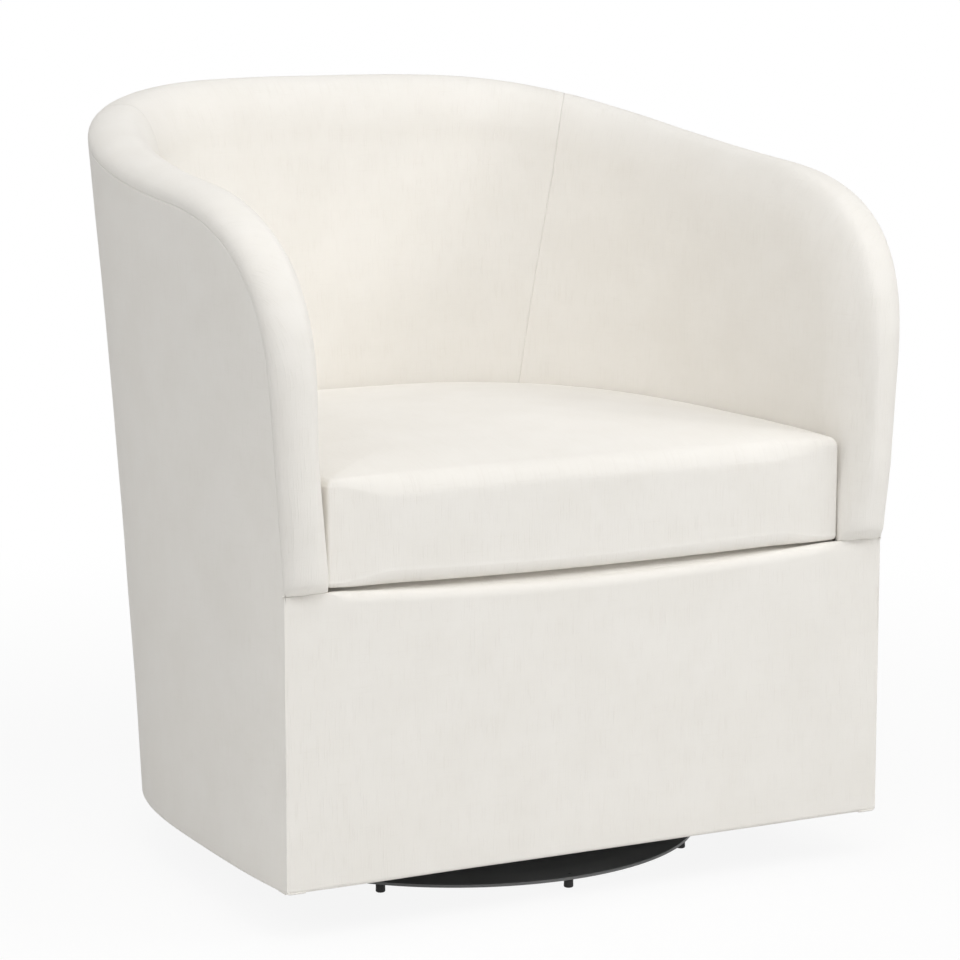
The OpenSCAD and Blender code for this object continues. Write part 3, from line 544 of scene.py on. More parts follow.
class Paint:
    """Builds the nodes of one material or world."""

    def __init__(self, owner: Union[bpy.types.Material, bpy.types.World]) -> None:
        """Finds the shader and the output that a new material or world has.

        Args:
            owner: The material or world.
        """
        owner.use_nodes = True
        self.owner = owner
        self.tree = owner.node_tree
        self.shader = next(n for n in self.tree.nodes if "OUTPUT" not in n.type)
        self.out = next(n for n in self.tree.nodes if "OUTPUT" in n.type)

    def node(
        self,
        kind: str,
        settings: Optional[dict[str, Any]] = None,
        inputs: Optional[dict[Union[int, str], Any]] = None,
        output: Union[int, str] = 0,
    ) -> Wire:
        """Adds a node.

        Args:
            kind: The node's type.
            settings: Its properties, which are set first.
            inputs: Values or wires by the input's index or name.
            output: The output that is wanted.

        Returns:
            The chosen output.
        """
        made = self.tree.nodes.new(kind)
        for key, value in (settings or {}).items():
            setattr(made, key, value)
        for key, value in (inputs or {}).items():
            self.feed(made.inputs[key], value)
        return Wire(self, made.outputs[output])

    def feed(self, socket: bpy.types.NodeSocket, value: Any) -> None:
        """Links a wire to a socket, or sets the socket's value.

        Args:
            socket: The socket that takes the value.
            value: A wire, number, colour or vector.
        """
        if isinstance(value, Wire):
            self.tree.links.new(value.socket, socket)
        elif hasattr(value, "__len__") and socket.type == "RGBA" and len(value) == 3:
            socket.default_value = (*value, 1.0)
        else:
            socket.default_value = value

    def set(self, **values: Any) -> None:
        """Sets or links the shader's sockets, named with underscores for spaces."""
        for key, value in values.items():
            self.feed(self.shader.inputs[key.replace("_", " ")], value)

    def cover(self, kind: str, share: Wire) -> None:
        """Shows a plain white shader over the first one, where a share is 1.

        Args:
            kind: The white shader's type.
            share: Where it shows.
        """
        own = Wire(self, self.shader.outputs[0])
        plain = self.node(kind, inputs={"Color": WHITE, "Strength": 1.0})
        both = self.node("ShaderNodeMixShader", inputs={0: share, 1: own, 2: plain})
        self.feed(self.out.inputs["Surface"], both)

    def blend(self, a: Any, b: Any, share: Union[Wire, float]) -> Wire:
        """Returns the colour a share of the way from a to b."""
        settings = {"data_type": "RGBA"}
        return self.node("ShaderNodeMix", settings, {0: share, 6: a, 7: b}, output=2)

    def place(self) -> Wire:
        """Returns the place on the object."""
        return self.node("ShaderNodeTexCoord", output="Object")

    def cloth(self) -> tuple[Wire, Wire]:
        """Returns the two lengths on the cloth, across and along its warp.

        Returns:
            The length across the warp and the length along it.
        """
        flat = self.node("ShaderNodeUVMap", {"uv_map": CLOTH_UV})
        parts = self.node("ShaderNodeSeparateXYZ", inputs={0: flat})
        return parts, Wire(self, parts.socket.node.outputs[1])

    def vector(self, x: Any, y: Any, z: Any = 0.0) -> Wire:
        """Returns a vector made of three values."""
        return self.node("ShaderNodeCombineXYZ", inputs={0: x, 1: y, 2: z})

    def stretched(self, place: Wire, scale: tuple[float, float, float]) -> Wire:
        """Returns a place scaled by its own amount along each axis."""
        return self.node("ShaderNodeMapping", inputs={"Vector": place, "Scale": scale})

    def grain(self, place: Wire, scale: float, detail: float = 2.0, roughness: float = 0.5) -> Wire:
        """Returns soft noise from 0 to 1."""
        inputs = {"Vector": place, "Scale": scale, "Detail": detail, "Roughness": roughness}
        return self.node("ShaderNodeTexNoise", inputs=inputs)

    def bump(self, height: Wire, strength: float, distance: float) -> Wire:
        """Returns the surface's direction over a relief."""
        inputs = {"Height": height, "Strength": strength, "Distance": distance}
        return self.node("ShaderNodeBump", inputs=inputs)


@dataclass(frozen=True)
class Finish:
    """A finish, named after its slot in the record."""

    name: str

    def build(self) -> bpy.types.Material:
        """Returns the material.

        Returns:
            The material.
        """
        paint = Paint(bpy.data.materials.new(self.name))
        self.lay(paint)
        return paint.owner

    def lay(self, paint: Paint) -> None:
        """Builds the nodes."""
        raise NotImplementedError


@dataclass(frozen=True)
class Linen(Finish):
    """Ivory cloth of uneven yarn, woven plain, with slubs along the warp."""

    name: str = "linen"
    base: tuple[float, float, float] = (0.905, 0.880, 0.835)
    yarn: tuple[float, float, float] = (0.80, 0.765, 0.70)
    pitch: float = 0.0011
    slub_w: float = 0.0013
    slub_l: float = 0.030
    relief: float = 0.00035

    def lay(self, paint: Paint) -> None:
        """Builds the nodes.

        Args:
            paint: The nodes of its material.
        """
        across, along = paint.cloth()
        turn = 2 * math.pi / self.pitch
        warp = (across * turn).sine()
        weft = (along * turn).sine()
        weave = warp * weft * 0.5 + 0.5
        warp_slub = paint.grain(paint.vector(across / self.slub_w, along / self.slub_l), 1.0, 3.0)
        crosswise = paint.vector(across / self.slub_l, along / self.slub_w, 7.0)
        weft_slub = paint.grain(crosswise, 1.0, 3.0)
        thick = warp_slub.band(0.52, 0.72)
        cross = weft_slub.band(0.56, 0.76)
        cloud = paint.grain(paint.vector(across, along, 3.0), 14.0, 3.0).band(0.3, 0.7)
        shade = thick * 0.18 + cross * 0.12 + (1 - weave) * 0.22 + cloud * 0.18
        colour = paint.blend(self.base, self.yarn, shade)
        height = weave * 0.45 + thick * 0.8 + cross * 0.4 + warp_slub * 0.3
        paint.set(
            Base_Color=colour,
            Roughness=0.92 - thick * 0.08,
            Normal=paint.bump(height, 0.55, self.relief),
            Sheen_Weight=0.12,
            Sheen_Roughness=0.5,
            Specular_IOR_Level=0.25,
        )


@dataclass(frozen=True)
class PowderCoat(Finish):
    """Dark satin coating with a fine orange peel and patches of dust."""

    name: str = "charcoal_metal"
    # Painted light: the base and dust colours are lighter than the coating's own charcoal, to
    # brighten the disc in the shade under the chair.
    base: tuple[float, float, float] = (0.20, 0.202, 0.200)
    dust: tuple[float, float, float] = (0.32, 0.318, 0.312)

    def lay(self, paint: Paint) -> None:
        """Builds the nodes.

        Args:
            paint: The nodes of its material.
        """
        place = paint.place()
        peel = paint.grain(place, 900.0, 2.0)
        wear = paint.grain(place, 22.0, 5.0, 0.65).band(0.48, 0.78)
        specks = paint.grain(place, 420.0, 2.0).band(0.66, 0.78)
        paint.set(
            Base_Color=paint.blend(self.base, self.dust, wear * 0.28 + specks * 0.22),
            Roughness=0.42 + wear * 0.16 + peel * 0.06,
            Normal=paint.bump(peel, 0.20, 0.0002),
            Specular_IOR_Level=0.6,
        )


@dataclass(frozen=True)
class Rubber(Finish):
    """Matt black rubber, a little grey where it was handled."""

    name: str = "foot_rubber"
    base: tuple[float, float, float] = (0.016, 0.016, 0.016)
    scuff: tuple[float, float, float] = (0.055, 0.054, 0.052)

    def lay(self, paint: Paint) -> None:
        """Builds the nodes.

        Args:
            paint: The nodes of its material.
        """
        place = paint.place()
        scuffs = paint.grain(place, 260.0, 5.0, 0.7).band(0.52, 0.75)
        paint.set(
            Base_Color=paint.blend(self.base, self.scuff, scuffs),
            Roughness=0.68 + scuffs * 0.2,
            Normal=paint.bump(scuffs, 0.3, 0.0002),
        )


@dataclass(frozen=True)
class Steel(Finish):
    """Rolled and plated steel with fine scratches and a mottled spangle."""

    base: tuple[float, float, float] = (0.50, 0.51, 0.52)
    dull: tuple[float, float, float] = (0.34, 0.35, 0.36)
    roughness: float = 0.34

    def lay(self, paint: Paint) -> None:
        """Builds the nodes.

        Args:
            paint: The nodes of its material.
        """
        place = paint.place()
        brushed = paint.stretched(place, (900.0, 30.0, 900.0))
        scratches = paint.grain(brushed, 1.0, 3.0).band(0.5, 0.7)
        spangle = paint.grain(place, 90.0, 4.0, 0.6).band(0.35, 0.7)
        paint.set(
            Base_Color=paint.blend(self.base, self.dull, spangle),
            Metallic=1.0,
            Roughness=self.roughness + spangle * 0.14 + scratches * 0.08,
            Normal=paint.bump(scratches, 0.15, 0.00015),
        )


@dataclass(frozen=True)
class Timber(Finish):
    """Bare wood with rings and pores, and plies where it is layered."""

    light: tuple[float, float, float]
    dark: tuple[float, float, float]
    ring_pitch: float = 0.011
    layers: float = 0.0

    def lay(self, paint: Paint) -> None:
        """Builds the nodes.

        Args:
            paint: The nodes of its material.
        """
        place = paint.place()
        wander = paint.grain(paint.stretched(place, (3.0, 14.0, 14.0)), 1.0, 3.0)
        parts = paint.node("ShaderNodeSeparateXYZ", inputs={0: place})
        depth = Wire(paint, parts.socket.node.outputs[1])
        height = Wire(paint, parts.socket.node.outputs[2])
        rings = ((depth + height * 0.6 + wander * 0.05) * (2 * math.pi / self.ring_pitch)).sine()
        streaks = paint.stretched(place, (60.0, 1400.0, 1400.0))
        pores = paint.grain(streaks, 1.0, 2.0).band(0.55, 0.75)
        shade = (rings * 0.5 + 0.5) * 0.45 + pores * 0.35
        if self.layers > 0:
            plies = (height * (2 * math.pi / self.layers)).sine().band(-0.2, 0.2)
            shade = shade * 0.6 + plies * 0.25
        paint.set(
            Base_Color=paint.blend(self.light, self.dark, shade),
            Roughness=0.62 + pores * 0.2,
            Normal=paint.bump(shade, 0.3, 0.0004),
        )


@dataclass(frozen=True)
class Fibre(Finish):
    """Matt stuff without a weave, such as foam, felt or pressed board."""

    base: tuple[float, float, float]
    fleck: tuple[float, float, float]
    cell: float
    relief: float

    def lay(self, paint: Paint) -> None:
        """Builds the nodes.

        Args:
            paint: The nodes of its material.
        """
        place = paint.place()
        scale = {"Vector": place, "Scale": 1 / self.cell}
        edges = paint.node("ShaderNodeTexVoronoi", inputs=scale).band(0.15, 0.75)
        flecks = paint.grain(place, 0.35 / self.cell, 4.0, 0.65).band(0.42, 0.7)
        paint.set(
            Base_Color=paint.blend(self.base, self.fleck, flecks * 0.6 + (1 - edges) * 0.25),
            Roughness=0.9 + flecks * 0.06,
            Normal=paint.bump(edges, 0.5, self.relief),
        )


@dataclass(frozen=True)
class DustCloth(Finish):
    """Thin black bonded cloth with a dimpled press pattern."""

    name: str = "black_cloth"
    base: tuple[float, float, float] = (0.022, 0.022, 0.025)
    worn: tuple[float, float, float] = (0.06, 0.06, 0.064)
    dimple: float = 0.0018

    def lay(self, paint: Paint) -> None:
        """Builds the nodes.

        Args:
            paint: The nodes of its material.
        """
        across, along = paint.cloth()
        turn = 2 * math.pi / self.dimple
        press = (across * turn).sine() * (along * turn).sine() * 0.5 + 0.5
        fibres = paint.grain(paint.vector(across, along), 320.0, 5.0, 0.7).band(0.4, 0.7)
        paint.set(
            Base_Color=paint.blend(self.base, self.worn, fibres * 0.7 + press * 0.2),
            Roughness=0.88 - fibres * 0.1,
            Normal=paint.bump(press * 0.6 + fibres * 0.4, 0.4, 0.0003),
        )


class Finishes:
    """Every finish of the chair, built once, by the name of its slot in the record."""

    def __init__(self) -> None:
        """Builds the materials."""
        kinds = (
            Linen(),
            PowderCoat(),
            Rubber(),
            Steel("bare_steel"),
            Steel("spring_steel", (0.28, 0.285, 0.29), (0.16, 0.155, 0.15), 0.42),
            Timber("frame_wood", (0.55, 0.37, 0.19), (0.36, 0.21, 0.095)),
            Timber("plywood", (0.62, 0.45, 0.26), (0.44, 0.28, 0.14), 0.019, 0.003),
            Fibre("liner_board", (0.36, 0.25, 0.145), (0.22, 0.145, 0.08), 0.0022, 0.0003),
            Fibre("foam", (0.78, 0.69, 0.42), (0.66, 0.56, 0.31), 0.0016, 0.0006),
            Fibre("felt", (0.52, 0.50, 0.46), (0.30, 0.30, 0.30), 0.0030, 0.0008),
            DustCloth(),
        )
        self.by_slot = {kind.name: kind.build() for kind in kinds}

    def dress(self, piece: bpy.types.Object, slot: str) -> None:
        """Gives every face of a piece the material of a slot.

        Args:
            piece: The piece.
            slot: The slot in the record.
        """
        piece.data.materials.clear()
        piece.data.materials.append(self.by_slot[slot])
        for face in piece.data.polygons:
            face.material_index = 0

    def dress_frame(self) -> None:
        """Gives every CAD node the material of its slot in the record."""
        for part in frame["record"]["subparts"]:
            self.dress(frame["nodes"][part["node"]], part["material_slot"])
            log.info("node %s is dressed as %s", part["node"], part["material_slot"])

    def finish(
        self,
        piece: bpy.types.Object,
        slot: str,
        body: str,
        nodes: Sequence[str] = (),
        fill: Optional[float] = None,
    ) -> None:
        """Dresses a finished piece, sets it on its body, hides the CAD nodes that it stands for and
        logs its faces.

        Args:
            piece: The piece.
            slot: Its slot in the record.
            body: The body that it rides on.
            nodes: The CAD nodes that it stands for.
            fill: How full its padding is, if it's padded; it is not used.
        """
        self.dress(piece, slot)
        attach(piece, body)
        if nodes:
            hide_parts(*nodes)
        log.info("%s has %d faces", piece.name, len(piece.data.polygons))


@dataclass
class Seam:
    """How a sheet dips along one of its edges."""

    depth: float = 0.0
    width: float = 0.004
    pucker: float = 0.0
    pitch: float = 0.011
    reach: float = 0.020

    def dip(self, away: float, place: Vector) -> float:
        """Returns how far the cloth stands out near the seam, alike on both of its sheets.

        Args:
            away: Distance from the seam.
            place: Where the point lies.

        Returns:
            The distance, which is below 0 in the dent.
        """
        if self.depth == 0 and self.pucker == 0:
            return 0.0
        dent = -self.depth * math.exp(-((away / self.width) ** 2))
        return dent + self.pucker * noise.noise(place / self.pitch) * math.exp(-away / self.reach)


@dataclass
class Sheet:
    """A cover: a grid laid on a shape, with seams along its edges."""

    name: str
    columns: Sequence[float]
    rows: Sequence[float]
    point: Callable[[float, float], Vector]
    cloth: Callable[[float, float, float], tuple[float, float]]
    looks: Vector
    thickness: float = 0.0018
    first: Seam = field(default_factory=Seam)
    last: Seam = field(default_factory=Seam)
    top: Seam = field(default_factory=Seam)
    unevenness: float = 0.0005
    uneven_pitch: float = 0.085
    calm_edge: float = 0.025
    fold_row: int = 0

    def build(self) -> bpy.types.Object:
        """Lays the grid on the shape and returns the finished piece.

        Returns:
            The piece.
        """
        n, m = len(self.columns) - 1, len(self.rows) - 1
        bm = bmesh.new()
        bmesh.ops.create_grid(bm, x_segments=n, y_segments=m, size=0.5)
        spots = {v: (round((v.co.x + 0.5) * n), round((v.co.y + 0.5) * m)) for v in bm.verts}
        grid = {(i, j): self.point(self.columns[i], self.rows[j]) for i, j in spots.values()}
        for v, spot in spots.items():
            v.co = grid[spot]
        self._turn_out(bm)
        along, away = self._lengths(grid, n, m)
        bm.normal_update()
        moves = {}
        for v, (i, j) in spots.items():
            first, last = along[i, j], along[n, j] - along[i, j]
            top, bottom = away[i, j], away[i, m] - away[i, j]
            out = self.first.dip(first, v.co) + self.last.dip(last, v.co) + self.top.dip(top, v.co)
            calm = ease(min(first, last, top, bottom) / self.calm_edge)
            out += calm * self.unevenness * noise.noise(v.co / self.uneven_pitch)
            moves[v] = v.normal * out
        for v, move in moves.items():
            v.co += move
        places = {
            (i, j): self.cloth(self.columns[i], self.rows[j], away[i, self.fold_row] - away[i, j])
            for i, j in spots.values()
        }
        lay_cloth(bm, lambda v: places[spots[v]])
        piece = new_piece(self.name, bm)
        thicken(piece, self.thickness)
        return piece

    def _turn_out(self, bm: bmesh.types.BMesh) -> None:
        """Turns the faces so that the one furthest in the sheet's direction looks that way.

        Args:
            bm: The mesh.
        """
        bm.normal_update()
        furthest = max(bm.faces, key=lambda face: face.calc_center_median().dot(self.looks))
        if furthest.normal.dot(self.looks) < 0:
            bmesh.ops.reverse_faces(bm, faces=bm.faces[:])

    def _lengths(self, grid: dict, n: int, m: int) -> tuple[dict, dict]:
        """Returns each grid point's distance from the first column and from the first row.

        Args:
            grid: The places of the grid's points.
            n: The steps between columns.
            m: The steps between rows.

        Returns:
            Both distances by column and row.
        """
        rows = [lengths_along([grid[i, j] for i in range(n + 1)]) for j in range(m + 1)]
        columns = [lengths_along([grid[i, j] for j in range(m + 1)]) for i in range(n + 1)]
        along = {(i, j): rows[j][i] for i, j in grid}
        away = {(i, j): columns[i][j] for i, j in grid}
        return along, away


def lay_cloth(
    bm: bmesh.types.BMesh, flat: Callable[[bmesh.types.BMVert], tuple[float, float]]
) -> None:
    """Writes each point's two lengths on the cloth.

    Args:
        bm: The mesh.
        flat: The rule for a vertex's two lengths.
    """
    layer = bm.loops.layers.uv.new(CLOTH_UV)
    for face in bm.faces:
        for loop in face.loops:
            loop[layer].uv = flat(loop.vert)


def new_piece(name: str, bm: bmesh.types.BMesh, smooth: bool = True) -> bpy.types.Object:
    """Makes an object of a bmesh, shaded smooth or flat, and frees the bmesh.

    Args:
        name: Its name.
        bm: Its mesh.
        smooth: Whether it is shaded smooth.

    Returns:
        The object.
    """
    for face in bm.faces:
        face.smooth = smooth
    mesh = bpy.data.meshes.new(name)
    bm.to_mesh(mesh)
    bm.free()
    return add(bpy.data.objects.new(name, mesh))


def add(thing: bpy.types.Object) -> bpy.types.Object:
    """Adds an object to the scene and returns it."""
    bpy.context.scene.collection.objects.link(thing)
    return thing


def thicken(piece: bpy.types.Object, thickness: float) -> None:
    """Gives a cloth its thickness, inwards.

    Args:
        piece: The cloth.
        thickness: Its thickness.
    """
    wall = piece.modifiers.new("Cloth thickness", "SOLIDIFY")
    wall.thickness = thickness
    wall.offset = -1.0


class ArcTable:
    """Lengths along the inside or the outside of the plan, by sweep angle."""

    def __init__(self, point: Callable[[float, float], Vector], z: float) -> None:
        """Sums the lengths of a plan at a height, degree by degree, up to the back's middle.

        Args:
            point: The rule for the plan's points.
            z: The plan's height.
        """
        self.start = -SHAPE.front_angle
        degrees = range(round(90 - self.start) + 1)
        self.lengths = lengths_along([point(self.start + i, z) for i in degrees])

    def at(self, turn: float) -> float:
        """Returns the length from the right front to a sweep angle.

        Args:
            turn: The sweep angle in degrees.

        Returns:
            The length.
        """
        if turn > 90:
            return 2 * self.lengths[-1] - self.at(180 - turn)
        place = turn - self.start
        first = clamp(int(place), 0, len(self.lengths) - 2)
        return mix(self.lengths[first], self.lengths[first + 1], place - first)


MID_INSIDE_Z = 0.55
MID_OUTSIDE_Z = 0.40
INNER_ARC = ArcTable(SHAPE.inner, MID_INSIDE_Z)
OUTER_ARC = ArcTable(SHAPE.outer, MID_OUTSIDE_Z)


@dataclass
class Upholstery:
    """The covers that are fixed to the frame."""

    finishes: Finishes
    hem_r: float = 0.004
    hem_w: float = 0.016
    roll_rows: int = 30
    pinch_rows: int = 7
    wall_rows: int = 30
    outside_rows_up: int = 44
    hem_rows: int = 5
    low_steps: int = 34
    low_edge: tuple[float, int] = (0.07, 8)
    bend_steps: int = 44
    bend_ease: float = 1.3
    inside_steps: int = 44
    outside_steps: int = 40
    inside_back_steps: int = 96
    outside_back_steps: int = 90
    seam_edge: tuple[float, int] = (0.03, 5)
    outside_unevenness: float = 0.0006
    outside_uneven_pitch: float = 0.11
    fill: float = 0.9
    rim_seam: Seam = field(default_factory=lambda: Seam(0.0, 0.002, 0.0005, 0.010, 0.008))
    wall_seam: Seam = field(default_factory=lambda: Seam(0.0004, 0.0030, 0.0004, 0.016, 0.016))
    end_seam: Seam = field(default_factory=lambda: Seam(0.0, 0.004, 0.0006, 0.013, 0.016))

    def inside_point(self, run: float, row: float) -> Vector:
        """Returns a point of an inside cover: row 1 is the roll's inner edge, 3 the foot.

        Args:
            run: The run of the rim seam.
            row: The row, from 0 at the rim seam.

        Returns:
            The point.
        """
        if row <= 1:
            return SHAPE.roll_point(SHAPE.skewed(run, row - 1), 180 * row)
        turn, z = SHAPE.inside_place(run, row - 1)
        return SHAPE.inner(turn, z)

    def inside_cloth(self, run: float, row: float, over: float) -> tuple[float, float]:
        """Returns the two lengths on an inside cover's cloth, whose warp stands upright.

        Args:
            run: The run of the rim.
            row: The row of the cover.
            over: The length from this row to the roll's inner edge.

        Returns:
            The lengths across and along the warp.
        """
        if row >= 1:
            turn, z = SHAPE.inside_place(run, row - 1)
            return INNER_ARC.at(turn), z
        turn, z = SHAPE.inside_place(run, 0.0)
        up = SHAPE.rim_up(run)
        side = 1 if run <= 3 else -1
        return INNER_ARC.at(turn) + side * up.y * over, z + up.z * over

    def inside_rows(self) -> list[float]:
        """Returns the rows of an inside cover, closer together at the rim seam.

        Returns:
            The rows.
        """
        edge = [0.0, 0.008, 0.018, 0.032, 0.05]
        roll = [r for r in spread(0.0, 1.0, self.roll_rows) if r > edge[-1] + 0.01]
        pinch = spread(1.0, 2.0, self.pinch_rows)[1:]
        return edge + roll + pinch + spread(2.0, 3.0, self.wall_rows)[1:]

    def _behind_bend(self, steps: int) -> list[float]:
        """Returns the runs from an arm's bend to its rear seam, closer together at the seam."""
        return toward_ends(2.0, SHAPE.seam_run, steps, *self.seam_edge)[self.seam_edge[1] :]

    def inside(self, wall: Wall) -> bpy.types.Object:
        """Builds the cover of a wall's inside, which also wraps the roll.

        Args:
            wall: The wall that it covers.

        Returns:
            The piece.
        """
        seam = SHAPE.seam_run
        runs = toward_ends(seam, 6 - seam, self.inside_back_steps, *self.seam_edge)
        first = self.wall_seam
        if wall is not Wall.BACK:
            low = toward_ends(0.0, 1.0, self.low_steps, *self.low_edge)[: -self.low_edge[1]]
            bend = spread(1.0, 2.0, self.bend_steps)[:-1]
            runs = low + bend + self._behind_bend(self.inside_steps)
            first = self.end_seam
        return Sheet(
            name=f"inside_{wall.name.lower()}_cover_cloth",
            columns=runs,
            rows=self.inside_rows(),
            point=wall.mirror(self.inside_point),
            cloth=self.inside_cloth,
            looks=Vector((0, 0, 1)),
            first=first,
            last=self.wall_seam,
            top=self.rim_seam,
            fold_row=self.inside_rows().index(1.0),
        ).build()

    def outside_point(self, run: float, row: float) -> Vector:
        """Returns a point of an outside cover, which turns under past its lower edge in row 1.

        Args:
            run: The run of the rim seam.
            row: The row, from 0 at the rim seam.

        Returns:
            The point.
        """
        turn, z = SHAPE.rim_at(run)
        low = SHAPE.skirt_z + self.hem_r
        if row <= 1:
            return SHAPE.outer(turn, mix(z, low, row))
        if row <= 2:
            a = math.radians(90 * (row - 1))
            inset = self.hem_r * (1 - math.cos(a))
            return SHAPE.outer(turn, low - self.hem_r * math.sin(a), inset)
        return SHAPE.outer(turn, SHAPE.skirt_z, self.hem_r + self.hem_w * (row - 2))

    def outside_cloth(self, run: float, row: float, _over: float) -> tuple[float, float]:
        """Returns the two lengths on an outside cover's cloth.

        Args:
            run: The run of the rim seam.
            row: The row of the cover.
            _over: Not used here.

        Returns:
            The lengths across and along the warp.
        """
        turn, z = SHAPE.rim_at(run)
        if row <= 1:
            return OUTER_ARC.at(turn), mix(z, SHAPE.skirt_z, row)
        return OUTER_ARC.at(turn), SHAPE.skirt_z - self.hem_w * (row - 1)

    def outside_rows(self) -> list[float]:
        """Returns the rows of an outside cover, closer together at the rim seam and the hem.

        Returns:
            The rows.
        """
        edge = [0.0, 0.004, 0.009, 0.016]
        wall = spread(0.03, 0.97, self.outside_rows_up) + [0.985, 1.0]
        return edge + wall + spread(1.0, 2.0, self.hem_rows)[1:] + [2.5, 3.0]

    def outside(self, wall: Wall) -> bpy.types.Object:
        """Builds the cover of a wall's outside.

        Args:
            wall: The wall that it covers.

        Returns:
            The piece.
        """
        seam = SHAPE.seam_run
        runs = toward_ends(seam, 6 - seam, self.outside_back_steps, *self.seam_edge)
        first, looks = self.wall_seam, (0, 1, 0)
        if wall is not Wall.BACK:
            n = self.bend_steps
            bend = [1 + (i / n) ** self.bend_ease for i in range(n)]
            runs = bend + self._behind_bend(self.outside_steps)
            first, looks = Seam(), (wall.value, 0, 0)
        return Sheet(
            name=f"outside_{wall.name.lower()}_cover_cloth",
            columns=runs,
            rows=self.outside_rows(),
            point=wall.mirror(self.outside_point),
            cloth=self.outside_cloth,
            looks=Vector(looks),
            first=first,
            last=self.wall_seam,
            top=self.rim_seam,
            unevenness=self.outside_unevenness,
            uneven_pitch=self.outside_uneven_pitch,
        ).build()

    def build(self) -> list[bpy.types.Object]:
        """Builds and dresses the covers of the walls, and returns those of the inside.

        Returns:
            The covers of the inside.
        """
        covers = []
        for wall in Wall:
            word = wall.name.lower()
            covers.append(self.inside(wall))
            self.finishes.finish(covers[-1], "linen", "tub", [f"inside_{word}_cover"], self.fill)
            outside = self.outside(wall)
            self.finishes.finish(outside, "linen", "tub", [f"outside_{word}_cover"], self.fill)
        return covers


@dataclass
class FrontPanel:
    """The flat cover below the seat, with its soft top edge, and the deck behind it."""

    finishes: Finishes
    hem_r: float = 0.004
    hem_w: float = 0.016
    top_r: float = 0.010
    arm_r: float = 0.0003
    arm_soft: float = 0.0030
    arm_soft_h: float = 0.013
    arm_soft_run: float = 0.012
    arm_lap: float = 0.004
    arm_fade: float = 0.02
    tuck: float = 0.014
    tuck_fall: float = 0.0016
    more_dip: float = 0.0025
    columns: int = 110
    side_edge: tuple[float, int] = (0.006, 6)
    hem_rows: int = 5
    climb_rows: int = 38
    climb_edge: tuple[float, int] = (0.05, 8)
    edge_rows: int = 12
    deck_rows: tuple[int, int, int] = (18, 34, 12)
    deck_columns: int = 70
    halvings: int = 30
    uneven_pitch: float = 0.12
    fill: float = 0.9
    deck_front: float = 0.011
    deck_bend_end: float = 0.070
    deck_back_run: float = 0.05
    deck_start: float = 0.006
    deck_slope: float = 0.042
    deck_step: float = 0.0022
    deck_t: float = 0.0013
    deck_gap: float = 0.001
    deck_end_half: float = 0.02

    def half(self) -> float:
        """Returns half the panel's width."""
        return SHAPE.front_w / 2

    def top_z(self, x: float) -> float:
        """Returns the height of the panel's top edge."""
        share = min(abs(x) / SHAPE.seat_front_half, 1.0)
        return SHAPE.seam_z - (SHAPE.panel_dip + self.more_dip) * (1 - share * share)

    def point(self, x: float, row: float) -> Vector:
        """Returns a point of the panel.

        Args:
            x: The place across the panel.
            row: Below 0 on the hem, 0 to 1 where it turns under, 1 to 2 up the front, 2 to 3 over
                the top edge and 3 to 4 behind it.

        Returns:
            The point.
        """
        front = -SHAPE.origin_y
        low = SHAPE.skirt_z + self.hem_r
        between = ease((SHAPE.seat_front_half + self.arm_lap - abs(x)) / self.arm_fade)
        r = mix(self.arm_r, self.top_r, between)
        top = self.top_z(x)
        if row <= 0:
            return Vector((x, front + self.hem_r - row * self.hem_w, SHAPE.skirt_z))
        if row <= 1:
            a = math.radians(90 * (1 - row))
            y = front + self.hem_r * (1 - math.cos(a))
            return Vector((x, y, low - self.hem_r * math.sin(a)))
        z = mix(low, top - r, min(row, 2.0) - 1)
        into_edge = max((z - top) / self.arm_soft_h + 1, 0.0)
        beside = (1 - between) * ease((self.half() - abs(x)) / self.arm_soft_run)
        front += self.arm_soft * beside * into_edge * into_edge
        if row <= 2:
            return Vector((x, front, z))
        if row <= 3:
            a = math.radians(90 * (row - 2))
            return Vector((x, front + r * (1 - math.cos(a)), top - r + r * math.sin(a)))
        behind = row - 3
        return Vector((x, front + r + self.tuck * behind, top - self.tuck_fall * behind))

    def panel(self) -> bpy.types.Object:
        """Builds the panel.

        Returns:
            The piece.
        """
        hem = [-1.0, -0.5] + spread(0.0, 1.0, self.hem_rows)
        climb = toward_ends(1.0, 2.0, self.climb_rows, *self.climb_edge)[1:]
        rows = hem + climb + spread(2.0, 3.0, self.edge_rows)[1:] + [3.5, 4.0]
        half = self.half()

        def cloth(x: float, row: float, _over: float) -> tuple[float, float]:
            """Returns the two lengths on the panel's cloth."""
            p = self.point(x, row)
            return x, p.z + (p.y + SHAPE.origin_y) * (1 if row > 1.5 else -1)

        return Sheet(
            name="front_panel_cloth",
            columns=toward_ends(-half, half, self.columns, *self.side_edge),
            rows=rows,
            point=self.point,
            cloth=cloth,
            looks=Vector((0, -1, 0)),
            uneven_pitch=self.uneven_pitch,
        ).build()

    def deck_point(self, share: float, y: float) -> Vector:
        """Returns a point of the deck, by the share of its half width and its depth.

        Args:
            share: The share of the half width, from -1 to 1.
            y: The depth behind the front panel.

        Returns:
            The point.
        """
        end = SHAPE.seat_back_y() - self.deck_gap
        turn = self._inner_turn(min(y, end))
        half = SHAPE.inner(turn, SHAPE.deck_z).x - self.deck_gap if y < end else self.deck_end_half
        slope = ease((y - self.deck_start) / self.deck_slope)
        x = share * half
        low = self.top_z(x) - self.deck_step
        return Vector((x, y - SHAPE.origin_y, mix(low, SHAPE.deck_z, slope)))

    def _inner_turn(self, y: float) -> float:
        """Returns the sweep angle at which the inside has a depth y, at the height of the deck.

        Args:
            y: The depth behind the front panel.

        Returns:
            The angle in degrees.
        """
        low, high = -SHAPE.front_angle, 90.0
        for _ in range(self.halvings):
            middle = (low + high) / 2
            if SHAPE.inner(middle, SHAPE.deck_z).y + SHAPE.origin_y < y:
                low = middle
            else:
                high = middle
        return (low + high) / 2

